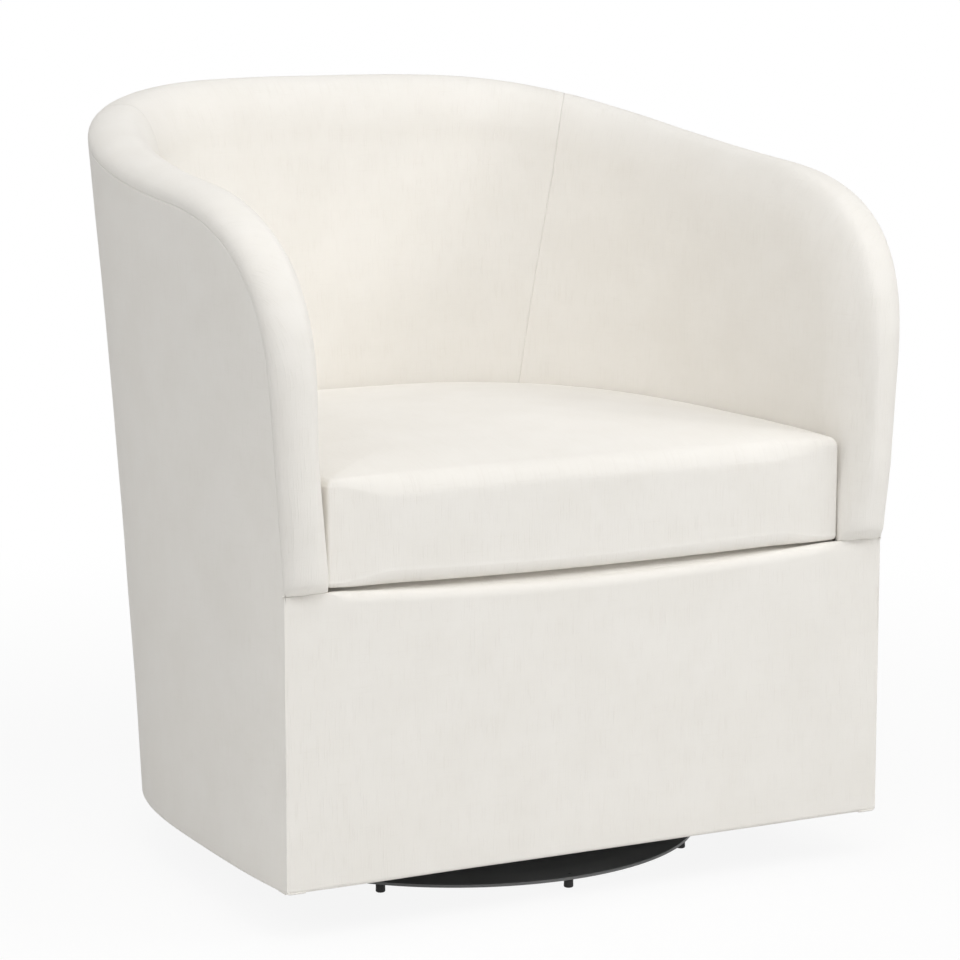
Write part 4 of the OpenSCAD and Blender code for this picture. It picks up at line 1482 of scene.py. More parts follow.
    def deck(self) -> bpy.types.Object:
        """Builds the deck's cloth.

        Returns:
            The piece.
        """
        back = SHAPE.seat_back_y() - 2 * self.deck_gap
        turn_y = back - self.deck_back_run
        front, middle, rear = self.deck_rows
        ys = spread(self.deck_front, self.deck_bend_end, front)
        ys += spread(self.deck_bend_end, turn_y, middle)[1:] + spread(turn_y, back, rear)[1:]

        def cloth(share: float, y: float, _over: float) -> tuple[float, float]:
            """Returns the two lengths on the deck's cloth."""
            return self.deck_point(share, y).x, y

        return Sheet(
            name="deck_cloth_sheet",
            columns=spread(-1.0, 1.0, self.deck_columns),
            rows=ys,
            point=self.deck_point,
            cloth=cloth,
            looks=Vector((0, 0, 1)),
            thickness=self.deck_t,
        ).build()

    def build(self) -> None:
        """Builds and dresses the panel and the deck."""
        for piece, node in ((self.panel(), "front_panel_cover"), (self.deck(), "deck_cloth")):
            self.finishes.finish(piece, "linen", "tub", [node], self.fill)


@dataclass
class SeatCushion:
    """The loose cushion: a crowned block in a soft cover with a seam round both of its edges."""

    finishes: Finishes
    front_y: float = 0.006
    height: float = 0.1055
    crown: float = 0.020
    top_r: float = 0.010
    low_r: float = 0.0045
    front_r: float = 0.028
    front_low_r: float = 0.014
    corner_r: float = 0.0018
    draw: float = 0.003
    gap: float = 0.0002
    rest_gap: float = 0.0004
    mid_share: float = 0.48
    round_x: float = 0.285
    round_y: float = 0.250
    round_rate: float = 1.6
    crown_power: float = 0.8
    back_rise: float = 0.002
    rise_run: float = 0.24
    around: int = 268
    flat_steps: int = 16
    low_turn_steps: int = 7
    wall_steps: int = 22
    wall_edge: tuple[float, int] = (0.006, 5)
    top_turn_steps: int = 12
    crown_steps: int = 26
    corner_steps: int = 10
    front_steps: int = 60
    side_steps: int = 150
    corner_zone: float = 0.012
    corner_density: float = 4.0
    soft_end: float = 0.006
    soft_fade: float = 0.07
    soft_depth: float = 0.012
    sag: float = 0.0095
    right_sag: float = 0.002
    sag_run: float = 0.040
    shrink: float = 0.004
    cap: float = 0.006
    stray: float = 0.0016
    cell: float = 0.007
    frames: int = 20
    quality: int = 5
    cloth_mass: float = 0.3
    pressure: float = 4.0
    nearest: int = 6
    blur: float = 9.0
    front_play: float = 0.0025
    play_from: float = 0.70
    play_fade: float = 0.2
    sag_height: float = 0.04
    seam_share: float = 0.75
    fill: float = 0.85
    top_seam: Seam = field(default_factory=lambda: Seam(0.0003, 0.0016, 0.0006, 0.015, 0.022))
    low_seam: Seam = field(default_factory=lambda: Seam(0.0003, 0.0016, 0.0004, 0.015, 0.014))

    def __post_init__(self) -> None:
        """Works out the stations of the profile and the edge of the plan."""
        self.low = SHAPE.deck_z + self.rest_gap
        self.high = self.low + self.height
        middle_y = mix(self.front_y, SHAPE.seat_back_y(), self.mid_share)
        self.middle = Vector((0, middle_y - SHAPE.origin_y))
        self.stations = self._stations(self.top_r, self.low_r)
        self.soft_stations = self._stations(self.front_r, self.front_low_r)
        self.plan = self._plan(SHAPE.deck_z)
        self.top_plan = self._plan(self.high)

    def _stations(self, top: float, r: float) -> list[tuple[float, float, float]]:
        """Returns the profile's stations from the middle below to the middle above.

        Args:
            top: The radius of the upper edge.
            r: The radius of the lower edge.

        Returns:
            Each station's inset, share towards the middle and height.
        """
        below = [(r, 1 - share, self.low) for share in spread(0.0, 1.0, self.flat_steps)[:-1]]
        low_turn = [
            (r * (1 - math.sin(a)), 0.0, self.low + r * (1 - math.cos(a)))
            for a in angles(0, 90, self.low_turn_steps)
        ]
        heights = toward_ends(self.low + r, self.high - top, self.wall_steps, *self.wall_edge)
        wall = [(0.0, 0.0, z) for z in heights[1:-1]]
        top_turn = [
            (top * (1 - math.cos(a)), 0.0, self.high - top + top * math.sin(a))
            for a in angles(0, 90, self.top_turn_steps)
        ]
        above = [
            (top, share, self.high + self.crown * math.sin(math.pi / 2 * share) ** self.crown_power)
            for share in (0.012, 0.028, *spread(0.05, 1.0, self.crown_steps))
        ]
        return below + low_turn + wall + top_turn + above

    def _side(self, turn: float, z: float) -> Vector:
        """Returns a point of the plan beside an arm or the back."""
        p = SHAPE.inner(turn, z, -self.gap)
        return Vector((p.x, p.y))

    def _plan(self, z: float) -> list[Vector]:
        """Returns the plan's edge, from the middle of the front round by the right.

        Args:
            z: The height.

        Returns:
            The points of the edge.
        """
        start = SHAPE.turn_at(self.front_y + self.corner_r, SHAPE.seam_z)
        begin = self._side(start, z)
        half = begin.x - self.corner_r
        n = self.front_steps
        front_y = self.front_y - SHAPE.origin_y
        front = [
            Vector((half * i / n, front_y + self.draw * (1 - (i / n) ** 2))) for i in range(n)
        ]
        corner = [
            Vector((half + self.corner_r * math.sin(a), begin.y - self.corner_r * math.cos(a)))
            for a in angles(0, 90, self.corner_steps)[:-1]
        ]
        side = [self._side(turn, z) for turn in spread(start, 90.0, self.side_steps)]
        right = front + corner + side
        return self._even(right + [Vector((-p.x, p.y)) for p in reversed(right[1:-1])])

    def _softness(self, edge: Vector) -> float:
        """Returns 1 in the middle of the front, where both edges are rounder, and 0 elsewhere.

        Args:
            edge: A point of the plan's edge.

        Returns:
            The softness.
        """
        depth = edge.y + SHAPE.origin_y - self.front_y
        between = ease((SHAPE.seat_front_half - self.soft_end - abs(edge.x)) / self.soft_fade)
        return between * (1 - ease(depth / self.soft_depth))

    def _even(self, edge: list[Vector]) -> list[Vector]:
        """Returns points along a closed line, evenly spaced but closer at the front corners.

        Args:
            edge: The line's own points.

        Returns:
            The new points.
        """
        corner = Vector((SHAPE.seat_front_half, self.front_y - SHAPE.origin_y))
        lengths = [0.0]
        for a, b in zip(edge, edge[1:] + edge[:1]):
            away = (Vector((abs(a.x), a.y)) - corner).length / self.corner_zone
            weight = 1 + self.corner_density * math.exp(-away * away)
            lengths.append(lengths[-1] + (b - a).length * weight)
        points, k = [], 0
        for i in range(self.around):
            target = lengths[-1] * i / self.around
            while lengths[k + 1] < target:
                k += 1
            share = (target - lengths[k]) / (lengths[k + 1] - lengths[k])
            points.append(mix(edge[k], edge[(k + 1) % len(edge)], share))
        return points

    def point(self, column: int, row: int, shrink: float = 0.0) -> Vector:
        """Returns a point of the cushion.

        Args:
            column: The step round the plan.
            row: The station of the profile.
            shrink: How far the sides and the top lie inside the finished shape.

        Returns:
            The point.
        """
        edge = self.plan[column % self.around]
        crisp, soft = self.stations[row], self.soft_stations[row]
        inset, inward, z = (mix(a, b, self._softness(edge)) for a, b in zip(crisp, soft))
        edge = mix(edge, self.top_plan[column % self.around], (z - self.low) / self.height)
        to_middle = self.middle - edge
        start = edge + to_middle.normalized() * (inset + shrink)
        out = start - self.middle
        reach = min(1 / math.hypot(out.x / self.round_x, out.y / self.round_y), 1.0)
        roundness = mix(1.0, reach, ease(inward * self.round_rate))
        place = self.middle + out * (roundness * (1 - inward))
        lift = ease((z - self.low) / self.height)
        behind = ease((place.y - self.middle.y + self.rise_run / 3) / self.rise_run)
        return Vector((place.x, place.y, z + (self.back_rise * behind - shrink) * lift))

    def form(self, shrink: float) -> tuple[bmesh.types.BMesh, Spots]:
        """Shapes a sphere's rings into the cushion.

        Args:
            shrink: How far the sides and the top lie inside the finished shape.

        Returns:
            The bmesh, and each vertex's step round the plan and station of the profile.
        """
        rows = len(self.stations) - 1
        bm = bmesh.new()
        bmesh.ops.create_uvsphere(bm, u_segments=self.around, v_segments=rows, radius=1.0)
        spots = {}
        for v in bm.verts:
            row = round((1 - math.acos(clamp(v.co.z, -1.0, 1.0)) / math.pi) * rows)
            column = round(math.atan2(v.co.y, v.co.x) / math.tau * self.around)
            spots[v] = (column % self.around, row)
        for v, (column, row) in spots.items():
            v.co = self.point(column, row, shrink)
        bmesh.ops.recalc_face_normals(bm, faces=bm.faces[:])
        return bm, spots

    def blown_up(self) -> Optional[list[tuple[Vector, Vector]]]:
        """Blows up a slightly smaller cover with a cloth simulation.

        Returns:
            Pairs of places before and after.
        """
        bm, _ = self.form(self.shrink)
        rough = new_piece("cushion_rough", bm)
        cells = rough.modifiers.new("Even cells", "REMESH")
        cells.mode = "VOXEL"
        cells.voxel_size = self.cell
        sack = add(bpy.data.objects.new("cushion_sack", self._evaluated(rough)))
        start = [v.co.copy() for v in sack.data.vertices]
        air = sack.modifiers.new("Air", "CLOTH")
        air.settings.quality = self.quality
        air.settings.mass = self.cloth_mass
        air.settings.use_pressure = True
        air.settings.uniform_pressure_force = self.pressure
        air.settings.effector_weights.gravity = 0.0
        air.point_cache.frame_start = 1
        air.point_cache.frame_end = self.frames
        scene = bpy.context.scene
        for number in range(1, self.frames + 1):
            scene.frame_set(number)
        blown = self._evaluated(sack)
        pairs = [(a, v.co.copy()) for a, v in zip(start, blown.vertices)]
        scene.frame_set(1)
        for piece in (rough, sack):
            bpy.data.objects.remove(piece)
        log.info("the cushion's cover was blown up over %d points", len(pairs))
        return pairs

    def _evaluated(self, piece: bpy.types.Object) -> bpy.types.Mesh:
        """Returns a piece's mesh with its modifiers applied."""
        graph = bpy.context.evaluated_depsgraph_get()
        return bpy.data.meshes.new_from_object(piece.evaluated_get(graph))

    def _follow(self, bm: bmesh.types.BMesh, pairs: list[tuple[Vector, Vector]]) -> None:
        """Moves a mesh as the simulated points near it moved, by no more than the cap.

        Args:
            bm: The cover.
            pairs: Places before and after the simulation.
        """
        tree = kdtree.KDTree(len(pairs))
        for i, (before, _) in enumerate(pairs):
            tree.insert(before, i)
        tree.balance()
        for v in bm.verts:
            total, move = 0.0, Vector()
            for _, i, distance in tree.find_n(v.co, self.nearest):
                weight = 1 / (distance * distance + self.cell * self.cell / self.blur)
                before, after = pairs[i]
                move += (after - before) * weight
                total += weight
            move /= total
            if move.length > self.cap:
                move.length = self.cap
            v.co += move

    def _hold(self, v: bmesh.types.BMVert, column: int) -> None:
        """Keeps a point above the deck, between the arms and short of the back.

        Args:
            v: The point.
            column: Its step round the plan.
        """
        share = clamp((v.co.z - self.low) / self.height)
        edge = mix(self.plan[column], self.top_plan[column], share)
        out = edge - self.middle
        front = ease((-out.normalized().y - self.play_from) / self.play_fade)
        limit = out.length + self.front_play * front
        flat = Vector((v.co.x, v.co.y)) - self.middle
        reach = flat.dot(out.normalized())
        if reach > limit:
            flat *= limit / reach
            v.co.x, v.co.y = self.middle + flat
        depth = v.co.y + SHAPE.origin_y - self.front_y
        width = min(abs(v.co.x) / SHAPE.seat_front_half, 1.0)
        near = 1 - ease(depth / self.sag_run)
        right = max(v.co.x / SHAPE.seat_front_half, 0.0) ** 2
        floor = self.low - near * (self.sag * (1 - width * width) + self.right_sag * right)
        under = 1 - ease((v.co.z - self.low) / self.sag_height)
        v.co.z = max(v.co.z + (floor - self.low) * under, floor)

    def _seam_row(self, low: bool) -> int:
        """Returns the row of the profile on which a seam lies.

        Args:
            low: Whether it's the lower seam.

        Returns:
            The row.
        """
        target = self.low + self.low_r if low else self.high - self.top_r * self.seam_share
        rows = [j for j, s in enumerate(self.stations) if s[1] == 0.0]
        return min(rows, key=lambda j: abs(self.stations[j][2] - target))

    def build(self) -> None:
        """Builds the cushion's cover and dresses it."""
        pairs = self.blown_up()
        bm, spots = self.form(self.shrink if pairs else 0.0)
        if pairs:
            self._follow(bm, pairs)
        for v, (column, row) in spots.items():
            full = self.point(column, row)
            stray = v.co - full
            if stray.length > self.stray:
                stray.length = self.stray
            v.co = full + stray
            self._hold(v, column)
        bm.normal_update()
        grid = {spot: v.co.copy() for v, spot in spots.items()}
        rows = len(self.stations) - 1
        across = [0.0] + lengths_along([grid[0, j] for j in range(1, rows)])
        high, low = self._seam_row(False), self._seam_row(True)
        ring = lengths_along([grid[i % self.around, high] for i in range(self.around + 1)])
        for v, (_, row) in spots.items():
            if 0 < row < rows:
                dip = self.top_seam.dip(abs(across[row] - across[high]), v.co)
                dip += self.low_seam.dip(abs(across[row] - across[low]), v.co)
                v.co += v.normal * dip
        self._lay_cloth(bm, spots, ring, low, high)
        piece = new_piece("seat_cushion_cover", bm)
        nodes = ["cushion_top", "cushion_boxing", "cushion_bottom"]
        self.finishes.finish(piece, "linen", "seat_cushion", nodes, self.fill)

    def _lay_cloth(
        self, bm: bmesh.types.BMesh, spots: Spots, ring: list[float], low: int, high: int
    ) -> None:
        """Gives the cover its cloth: flat panels above and below, and one strip round the sides.

        Args:
            bm: The cover.
            spots: Each vertex's step round the plan and station of the profile.
            ring: The length up to each step round the plan.
            low: The station of the lower seam.
            high: The station of the upper seam.
        """
        flat = bm.loops.layers.uv.new(CLOTH_UV)
        for face in bm.faces:
            rows = [spots[v][1] for v in face.verts]
            columns = [spots[v][0] for v in face.verts]
            strip = low <= min(rows) and max(rows) <= high
            wraps = max(columns) - min(columns) > self.around / 2
            for loop in face.loops:
                column = spots[loop.vert][0]
                if strip and wraps and column == 0:
                    column = self.around
                co = loop.vert.co
                loop[flat].uv = (ring[column], co.z) if strip else (co.x, co.y)


@dataclass
class Padding:
    """The foam and felt under the covers, each a softened copy of its CAD solid."""

    finishes: Finishes
    inset: float = 0.003
    roll_inset: float = 0.0046
    core_inset: float = 0.0075
    edge_r: float = 0.004
    corner_stretch: float = 1.5
    margin: float = 0.0030
    near: float = 0.030
    weld: float = 1e-5
    flat_angle: float = 1.0
    solid_edge_angle: float = 40.0
    pad_edge_angle: float = 50.0
    edge_segments: int = 3
    pad_cuts: int = 15
    fill: float = 0.95
    pad_fill: float = 0.9
    pad_front_gap: float = 0.003
    pad_back_gap: float = 0.001
    pad_cloth_gap: float = 0.0035
    pad_depth: float = 0.030
    pad_w_share: float = 0.995

    def gather(self, covers: Sequence[bpy.types.Object]) -> None:
        """Keeps the surfaces of the covers that lie over the pads.

        Args:
            covers: The covers of the inside.
        """
        places, faces = [], []
        for cover in covers:
            first = len(places)
            places.extend(v.co.copy() for v in cover.data.vertices)
            faces.extend([first + i for i in face.vertices] for face in cover.data.polygons)
        self.over = bvhtree.BVHTree.FromPolygons(places, faces)

    def keep_under(self, bm: bmesh.types.BMesh) -> None:
        """Moves the points of a pad that come too near a cover back beneath it.

        Args:
            bm: The pad.
        """
        for v in bm.verts:
            spot, normal, _, distance = self.over.find_nearest(v.co)
            height = (v.co - spot).dot(normal)
            if distance < self.near and height > -self.margin:
                v.co -= normal * (height + self.margin)

    def soften(self, node: str, slot: str, body: str, inset: float) -> None:
        """Replaces a CAD solid with a copy that lies a little deeper and has rounded edges.

        Args:
            node: The solid's node.
            slot: Its slot in the record.
            body: The body that it rides on.
            inset: How much deeper it lies.
        """
        bm = bmesh.new()
        bm.from_mesh(frame["nodes"][node].data)
        bmesh.ops.remove_doubles(bm, verts=bm.verts[:], dist=self.weld)
        bmesh.ops.dissolve_limit(
            bm,
            angle_limit=math.radians(self.flat_angle),
            verts=bm.verts[:],
            edges=bm.edges[:],
            use_dissolve_boundaries=False,
        )
        bm.normal_update()
        stretch = self.corner_stretch
        moves = {v: v.normal * -inset * min(v.calc_shell_factor(), stretch) for v in bm.verts}
        for v, move in moves.items():
            v.co += move
        if body == "tub":
            self.keep_under(bm)
        piece = new_piece(f"{node}_soft", bm)
        self._round_off(piece, self.solid_edge_angle)
        self.finishes.finish(piece, slot, body, [node], self.fill)

    def _round_off(self, piece: bpy.types.Object, angle: float) -> None:
        """Rounds the edges of a pad that are sharper than an angle in degrees.

        Args:
            piece: The pad.
            angle: The angle.
        """
        edges = piece.modifiers.new("Soft edges", "BEVEL")
        edges.width = self.edge_r
        edges.segments = self.edge_segments
        edges.limit_method = "ANGLE"
        edges.angle_limit = math.radians(angle)

    def edge_pad(self, panel: FrontPanel) -> None:
        """Replaces the pad of the deck's front edge with one that follows the panel's dip.

        Args:
            panel: The panel that it follows.
        """
        low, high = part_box("front_edge_pad")
        bm = bmesh.new()
        bmesh.ops.create_cube(bm, size=1.0)
        bmesh.ops.subdivide_edges(bm, edges=bm.edges[:], cuts=self.pad_cuts, use_grid_fill=True)
        base = max(panel.top_z(0.0) - self.pad_depth, low.z)
        for v in bm.verts:
            x = v.co.x * (high.x - low.x)
            y = mix(low.y + self.pad_front_gap, high.y - self.pad_back_gap, v.co.y + 0.5)
            across = clamp(x / SHAPE.seat_front_half, -1.0, 1.0)
            deck = panel.deck_point(across, y + SHAPE.origin_y).z
            top = min(deck - self.pad_cloth_gap, high.z - self.pad_back_gap)
            v.co = Vector((x * self.pad_w_share, y, mix(base, top, v.co.z + 0.5)))
        bmesh.ops.recalc_face_normals(bm, faces=bm.faces[:])
        piece = new_piece("front_edge_pad_soft", bm)
        self._round_off(piece, self.pad_edge_angle)
        self.finishes.finish(piece, "foam", "tub", ["front_edge_pad"], self.pad_fill)

    def build(self, panel: FrontPanel, covers: Sequence[bpy.types.Object]) -> None:
        """Softens every pad.

        Args:
            panel: The front panel.
            covers: The covers of the inside.
        """
        self.gather(covers)
        for node in ("arm_pad_left", "arm_pad_right", "back_pad"):
            self.soften(node, "foam", "tub", self.inset)
        self.soften("rim_roll", "foam", "tub", self.roll_inset)
        self.soften("deck_pad", "felt", "tub", self.inset)
        self.soften("cushion_core", "foam", "seat_cushion", self.core_inset)
        self.edge_pad(panel)


@dataclass
class Underside:
    """What closes the chair from below: the dust cloth with its staples, and the rubber feet."""

    finishes: Finishes
    cloth_t: float = 0.0005
    cloth_z: float = 0.0508
    cloth_inset: float = 0.011
    hole_r: float = 0.131
    axis: tuple[float, float] = (0.0, -0.02205)
    front_share: float = 0.24
    cloth_steps: tuple[int, int] = (144, 8)
    waviness: float = 0.0002
    wave_pitch: float = 0.09
    staple_inset: float = 0.006
    staple_askew: float = 0.35
    askew_step: float = 1.7
    staple_marks: int = 720
    staple_w: float = 0.0105
    staple_t: float = 0.0013
    staple_h: float = 0.0007
    staple_pitch: float = 0.034
    leg_share: float = 0.08
    leg_h: float = 0.003
    leg_lift: float = 0.0012
    foot_count: int = 8
    foot_circle: float = 0.252
    foot_r: float = 0.005
    foot_bead: float = 0.0016
    foot_waist_share: float = 0.97
    foot_waist_h_share: float = 0.55
    foot_step: float = 0.0006
    foot_sides: int = 28
    bead_steps: int = 6
    crisp_angle: float = 50.0
    stem_r: float = 0.0025
    stem_tip: float = 0.0004
    stem_margin: float = 1.3

    def rim(self, share: float, inset: float) -> Vector:
        """Returns a point near the lower edge, a share of the way round from the right front.

        Args:
            share: The share of the way.
            inset: How far it lies in from the edge.

        Returns:
            The point.
        """
        around = 1 - self.front_share
        if share <= around:
            low = -SHAPE.front_angle * (1 - inset / SHAPE.front_run)
            way = share / around * 2
            turn = mix(low, 90.0, way) if way <= 1 else 180 - mix(low, 90.0, 2 - way)
            return SHAPE.outer(turn, SHAPE.skirt_z, inset)
        left, right = self.rim(around, inset), self.rim(0.0, inset)
        return mix(left, right, (share - around) / self.front_share)

    def dust_cloth(self) -> None:
        """Stretches the dust cloth below the rails, with a round opening for the swivel."""
        n, m = self.cloth_steps
        centre = Vector((*self.axis, self.cloth_z))
        bm = bmesh.new()
        bmesh.ops.create_grid(bm, x_segments=n, y_segments=m, size=0.5)
        for v in bm.verts:
            i, j = round((v.co.x + 0.5) * n), round((v.co.y + 0.5) * m)
            edge = self.rim((i % n) / n, self.cloth_inset)
            edge.z = self.cloth_z
            hole = centre + (edge - centre).normalized() * self.hole_r
            v.co = mix(hole, edge, j / m)
        bmesh.ops.remove_doubles(bm, verts=bm.verts[:], dist=WELD)
        bm.normal_update()
        if bm.faces[:][0].normal.z > 0:
            bmesh.ops.reverse_faces(bm, faces=bm.faces[:])
        lay_cloth(bm, lambda v: (v.co.x, v.co.y))
        area = sum(face.calc_area() for face in bm.faces)
        places = zip(*((v.co.x, v.co.y) for v in bm.verts))
        width, length = (max(line) - min(line) for line in places)
        for v in bm.verts:
            v.co.z += self.waviness * noise.noise(v.co / self.wave_pitch)
        piece = new_piece("dust_cloth", bm)
        thicken(piece, self.cloth_t)
        staples = self.staples()
        self.finishes.finish(piece, "black_cloth", "tub", ["dust_cover"])
        log.info("dust cloth is %.3f by %.3f m, %.3f m2", width, length, area)

    def staples(self) -> bpy.types.Object:
        """Drives staples round the dust cloth's edge.

        Returns:
            The piece.
        """
        inset, n = self.cloth_inset + self.staple_inset, self.staple_marks
        marks = [self.rim(i / n, inset) for i in range(n + 1)]
        lengths = lengths_along(marks)
        count = round(lengths[-1] / self.staple_pitch)
        bm = bmesh.new()
        k = 0
        for i in range(count):
            while lengths[k + 1] < lengths[-1] * (i + 0.5) / count:
                k += 1
            along = marks[k + 1] - marks[k]
            askew = self.staple_askew * noise.noise(Vector((i * self.askew_step, 4.0, 0.0)))
            self.staple(bm, marks[k], math.atan2(along.y, along.x) + askew)
        piece = new_piece("dust_cloth_staples", bm, smooth=False)
        self.finishes.finish(piece, "bare_steel", "tub")
        log.info("%d staples hold the dust cloth", count)
        return piece

    def staple(self, bm: bmesh.types.BMesh, place: Vector, way: float) -> None:
        """Adds one staple: a crown and two legs that go up into the wood.

        Args:
            bm: The mesh that it's added to.
            place: The middle of its crown.
            way: The direction of its crown, in radians.
        """
        z = self.cloth_z - self.cloth_t - self.staple_h / 2
        leg = (z + self.leg_lift, self.leg_share * self.staple_w, self.leg_h)
        side = (1 - self.leg_share) / 2 * self.staple_w
        bars = ((0.0, z, self.staple_w, self.staple_h), (-side, *leg), (side, *leg))
        turn = Matrix.Rotation(way, 4, "Z")
        for offset, height, width, tall in bars:
            made = bmesh.ops.create_cube(bm, size=1.0)["verts"]
            bmesh.ops.scale(bm, verts=made, vec=(width, self.staple_t, tall))
            bmesh.ops.translate(bm, verts=made, vec=(offset, 0, 0))
            bmesh.ops.transform(bm, verts=made, matrix=turn)
            bmesh.ops.translate(bm, verts=made, vec=(place.x, place.y, height))

    def feet(self) -> None:
        """Turns the rubber feet on a lathe and sets them round the disc."""
        low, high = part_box("rubber_feet")
        base, r, bead, step = self._foot_height(), self.foot_r, self.foot_bead, self.foot_step
        steps = self.bead_steps
        profile = [(0.0, 0.0), (r - bead - step, 0.0)]
        profile += [
            (r - bead + bead * math.sin(a), bead * (1 - math.cos(a))) for a in angles(12, 90, steps)
        ]
        profile += [(r * self.foot_waist_share, base * self.foot_waist_h_share), (r, base - step)]
        profile += [(r - step, base), (self.stem_r, base)]
        profile += [(self.stem_r, high.z - self.stem_tip), (0.0, high.z)]
        bm = bmesh.new()
        line = [bm.verts.new((x, 0.0, z)) for x, z in profile]
        for a, b in zip(line, line[1:]):
            bm.edges.new((a, b))
        bmesh.ops.spin(
            bm,
            geom=bm.verts[:] + bm.edges[:],
            cent=(0, 0, 0),
            axis=(0, 0, 1),
            dvec=(0, 0, 0),
            angle=math.tau,
            steps=self.foot_sides,
            use_merge=True,
            use_duplicate=False,
        )
        bmesh.ops.remove_doubles(bm, verts=bm.verts[:], dist=WELD)
        bmesh.ops.recalc_face_normals(bm, faces=bm.faces[:])
        first = bm.verts[:] + bm.edges[:] + bm.faces[:]
        for i in range(1, self.foot_count):
            self._stand(bm, bmesh.ops.duplicate(bm, geom=first)["geom"], i)
        self._stand(bm, first, 0)
        piece = new_piece("rubber_feet_turned", bm)
        edges = piece.modifiers.new("Crisp steps", "EDGE_SPLIT")
        edges.split_angle = math.radians(self.crisp_angle)
        self.finishes.finish(piece, "foot_rubber", "base", ["rubber_feet"])
        log.info("the feet reach from %.4f to %.4f m", low.z, high.z)

    def _foot_height(self) -> float:
        """Returns the height at which the CAD feet step in to their stems.

        Returns:
            The height.
        """
        away = self.stem_r * self.stem_margin
        centre = Vector(self.axis)
        places = [v.co for v in frame["nodes"]["rubber_feet"].data.vertices]
        return max(p.z for p in places if abs((p.xy - centre).length - self.foot_circle) > away)

    def _stand(self, bm: bmesh.types.BMesh, parts: list[Any], index: int) -> None:
        """Moves a foot's parts from the origin to their place on the circle.

        Args:
            bm: The mesh of all feet.
            parts: The foot's vertices, edges and faces.
            index: The foot's number.
        """
        a = math.radians(-90 + 360 / self.foot_count * index)
        spot = Vector((*self.axis, 0)) + self.foot_circle * Vector((math.cos(a), math.sin(a), 0))
        verts = [part for part in parts if isinstance(part, bmesh.types.BMVert)]
        bmesh.ops.translate(bm, verts=verts, vec=spot)

    def build(self) -> None:
        """Builds the underside."""
        self.dust_cloth()
        self.feet()


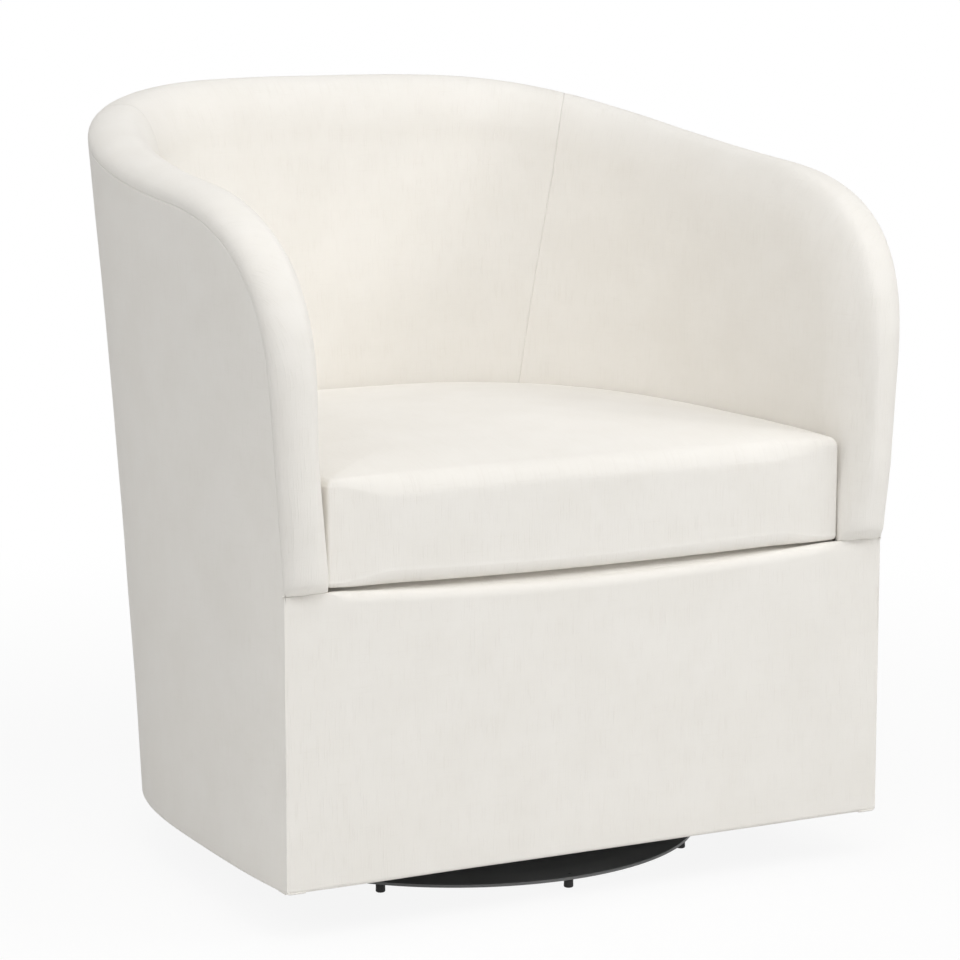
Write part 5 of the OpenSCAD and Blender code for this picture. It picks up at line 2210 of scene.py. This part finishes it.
@dataclass
class Studio:
    """The floor, the lamps and the camera."""

    floor_half: float = 45.0
    shadow_r: float = 0.6
    shadow_glow: float = 0.9
    sky: float = 0.225
    aim: tuple[float, float, float] = (0.0, 0.0, 0.4)
    camera_place: tuple[float, float, float] = (-1.6229, -3.1659, 0.9711)
    camera_pitch: float = 9.3985
    camera_heading: float = 27.734
    focal_px: float = 3347.73
    frame_px: float = 960.0
    sensor_mm: float = 36.0
    sight: float = 150.0

    def camera(self) -> None:
        """Stands the camera where the photograph was taken from."""
        data = bpy.data.cameras.new("camera")
        data.sensor_width = self.sensor_mm
        data.lens = self.sensor_mm * self.focal_px / self.frame_px
        data.clip_end = self.sight
        eye = add(bpy.data.objects.new("camera", data))
        eye.location = self.camera_place
        turn = (90 - self.camera_pitch, 0.0, -self.camera_heading)
        eye.rotation_euler = [math.radians(angle) for angle in turn]
        bpy.context.scene.camera = eye

    def lamp(self, name: str, place: tuple[float, float, float], size: float, watts: float) -> None:
        """Adds a square soft lamp that faces the chair.

        Args:
            name: The lamp's name.
            place: Where it hangs.
            size: The length of its sides.
            watts: Its power.
        """
        data = bpy.data.lights.new(name, "AREA")
        data.size = size
        data.energy = watts
        lamp = add(bpy.data.objects.new(name, data))
        lamp.location = place
        lamp.rotation_euler = (Vector(self.aim) - Vector(place)).to_track_quat("-Z", "Y").to_euler()

    def white_rays(self, paint: Paint) -> Wire:
        """Returns 1 for rays that should see the plain white background.

        Args:
            paint: The nodes that they light.

        Returns:
            The share.
        """
        share = paint.node("ShaderNodeLightPath", output="Is Camera Ray")
        outputs = share.socket.node.outputs
        for ray in ("Is Glossy Ray", "Is Transmission Ray"):
            share = share.math("MAXIMUM", Wire(paint, outputs[ray]))
        return share

    def floor(self) -> None:
        """Lays a pale floor that keeps the chair's shadow."""
        bm = bmesh.new()
        bmesh.ops.create_grid(bm, x_segments=1, y_segments=1, size=self.floor_half)
        plane = new_piece("floor", bm, smooth=False)
        paint = Paint(bpy.data.materials.new("studio_floor"))
        paint.set(Base_Color=(0.86, 0.86, 0.855), Roughness=0.9, Specular_IOR_Level=0.0)
        length = {"operation": "LENGTH"}
        away = paint.node("ShaderNodeVectorMath", length, {0: paint.place()}, "Value")
        far = away.band(self.shadow_r, self.shadow_r * 3)
        share = self.white_rays(paint) * (far * (1 - self.shadow_glow) + self.shadow_glow)
        paint.cover("ShaderNodeEmission", share)
        plane.data.materials.append(paint.owner)

    def world(self) -> None:
        """Surrounds the chair with plain light, and shows white behind it and in reflections."""
        world = bpy.data.worlds.new("studio")
        bpy.context.scene.world = world
        paint = Paint(world)
        paint.set(Color=WHITE, Strength=self.sky)
        paint.cover("ShaderNodeBackground", self.white_rays(paint))

    def build(self) -> None:
        """Sets up the whole studio."""
        self.camera()
        self.floor()
        self.world()
        lamps = (
            ("ceiling", (0.0, -0.2, 4.0), 3.0, 22.0),
            ("ceiling_front", (-0.5, -2.4, 4.0), 2.0, 47.0),
            ("right", (2.6, -2.4, 2.6), 2.0, 57.0),
            ("left", (-2.2, -1.6, 3.2), 2.0, 24.0),
            ("left_back", (-2.9, 1.1, 2.2), 2.0, 18.0),
            ("front", (-1.2, -4.6, 0.8), 2.0, 17.0),
        )
        for lamp in lamps:
            self.lamp(*lamp)
        bpy.context.scene.view_settings.view_transform = "Standard"


def main() -> None:
    """Builds the chair's looks on the frame, piece by piece."""
    logging.basicConfig(level=logging.INFO, format="%(message)s")
    Studio().build()
    finishes = Finishes()
    finishes.dress_frame()
    covers = Upholstery(finishes).build()
    panel = FrontPanel(finishes)
    panel.build()
    SeatCushion(finishes).build()
    Padding(finishes).build(panel, covers)
    Underside(finishes).build()


if __name__ == "__main__":
    main()
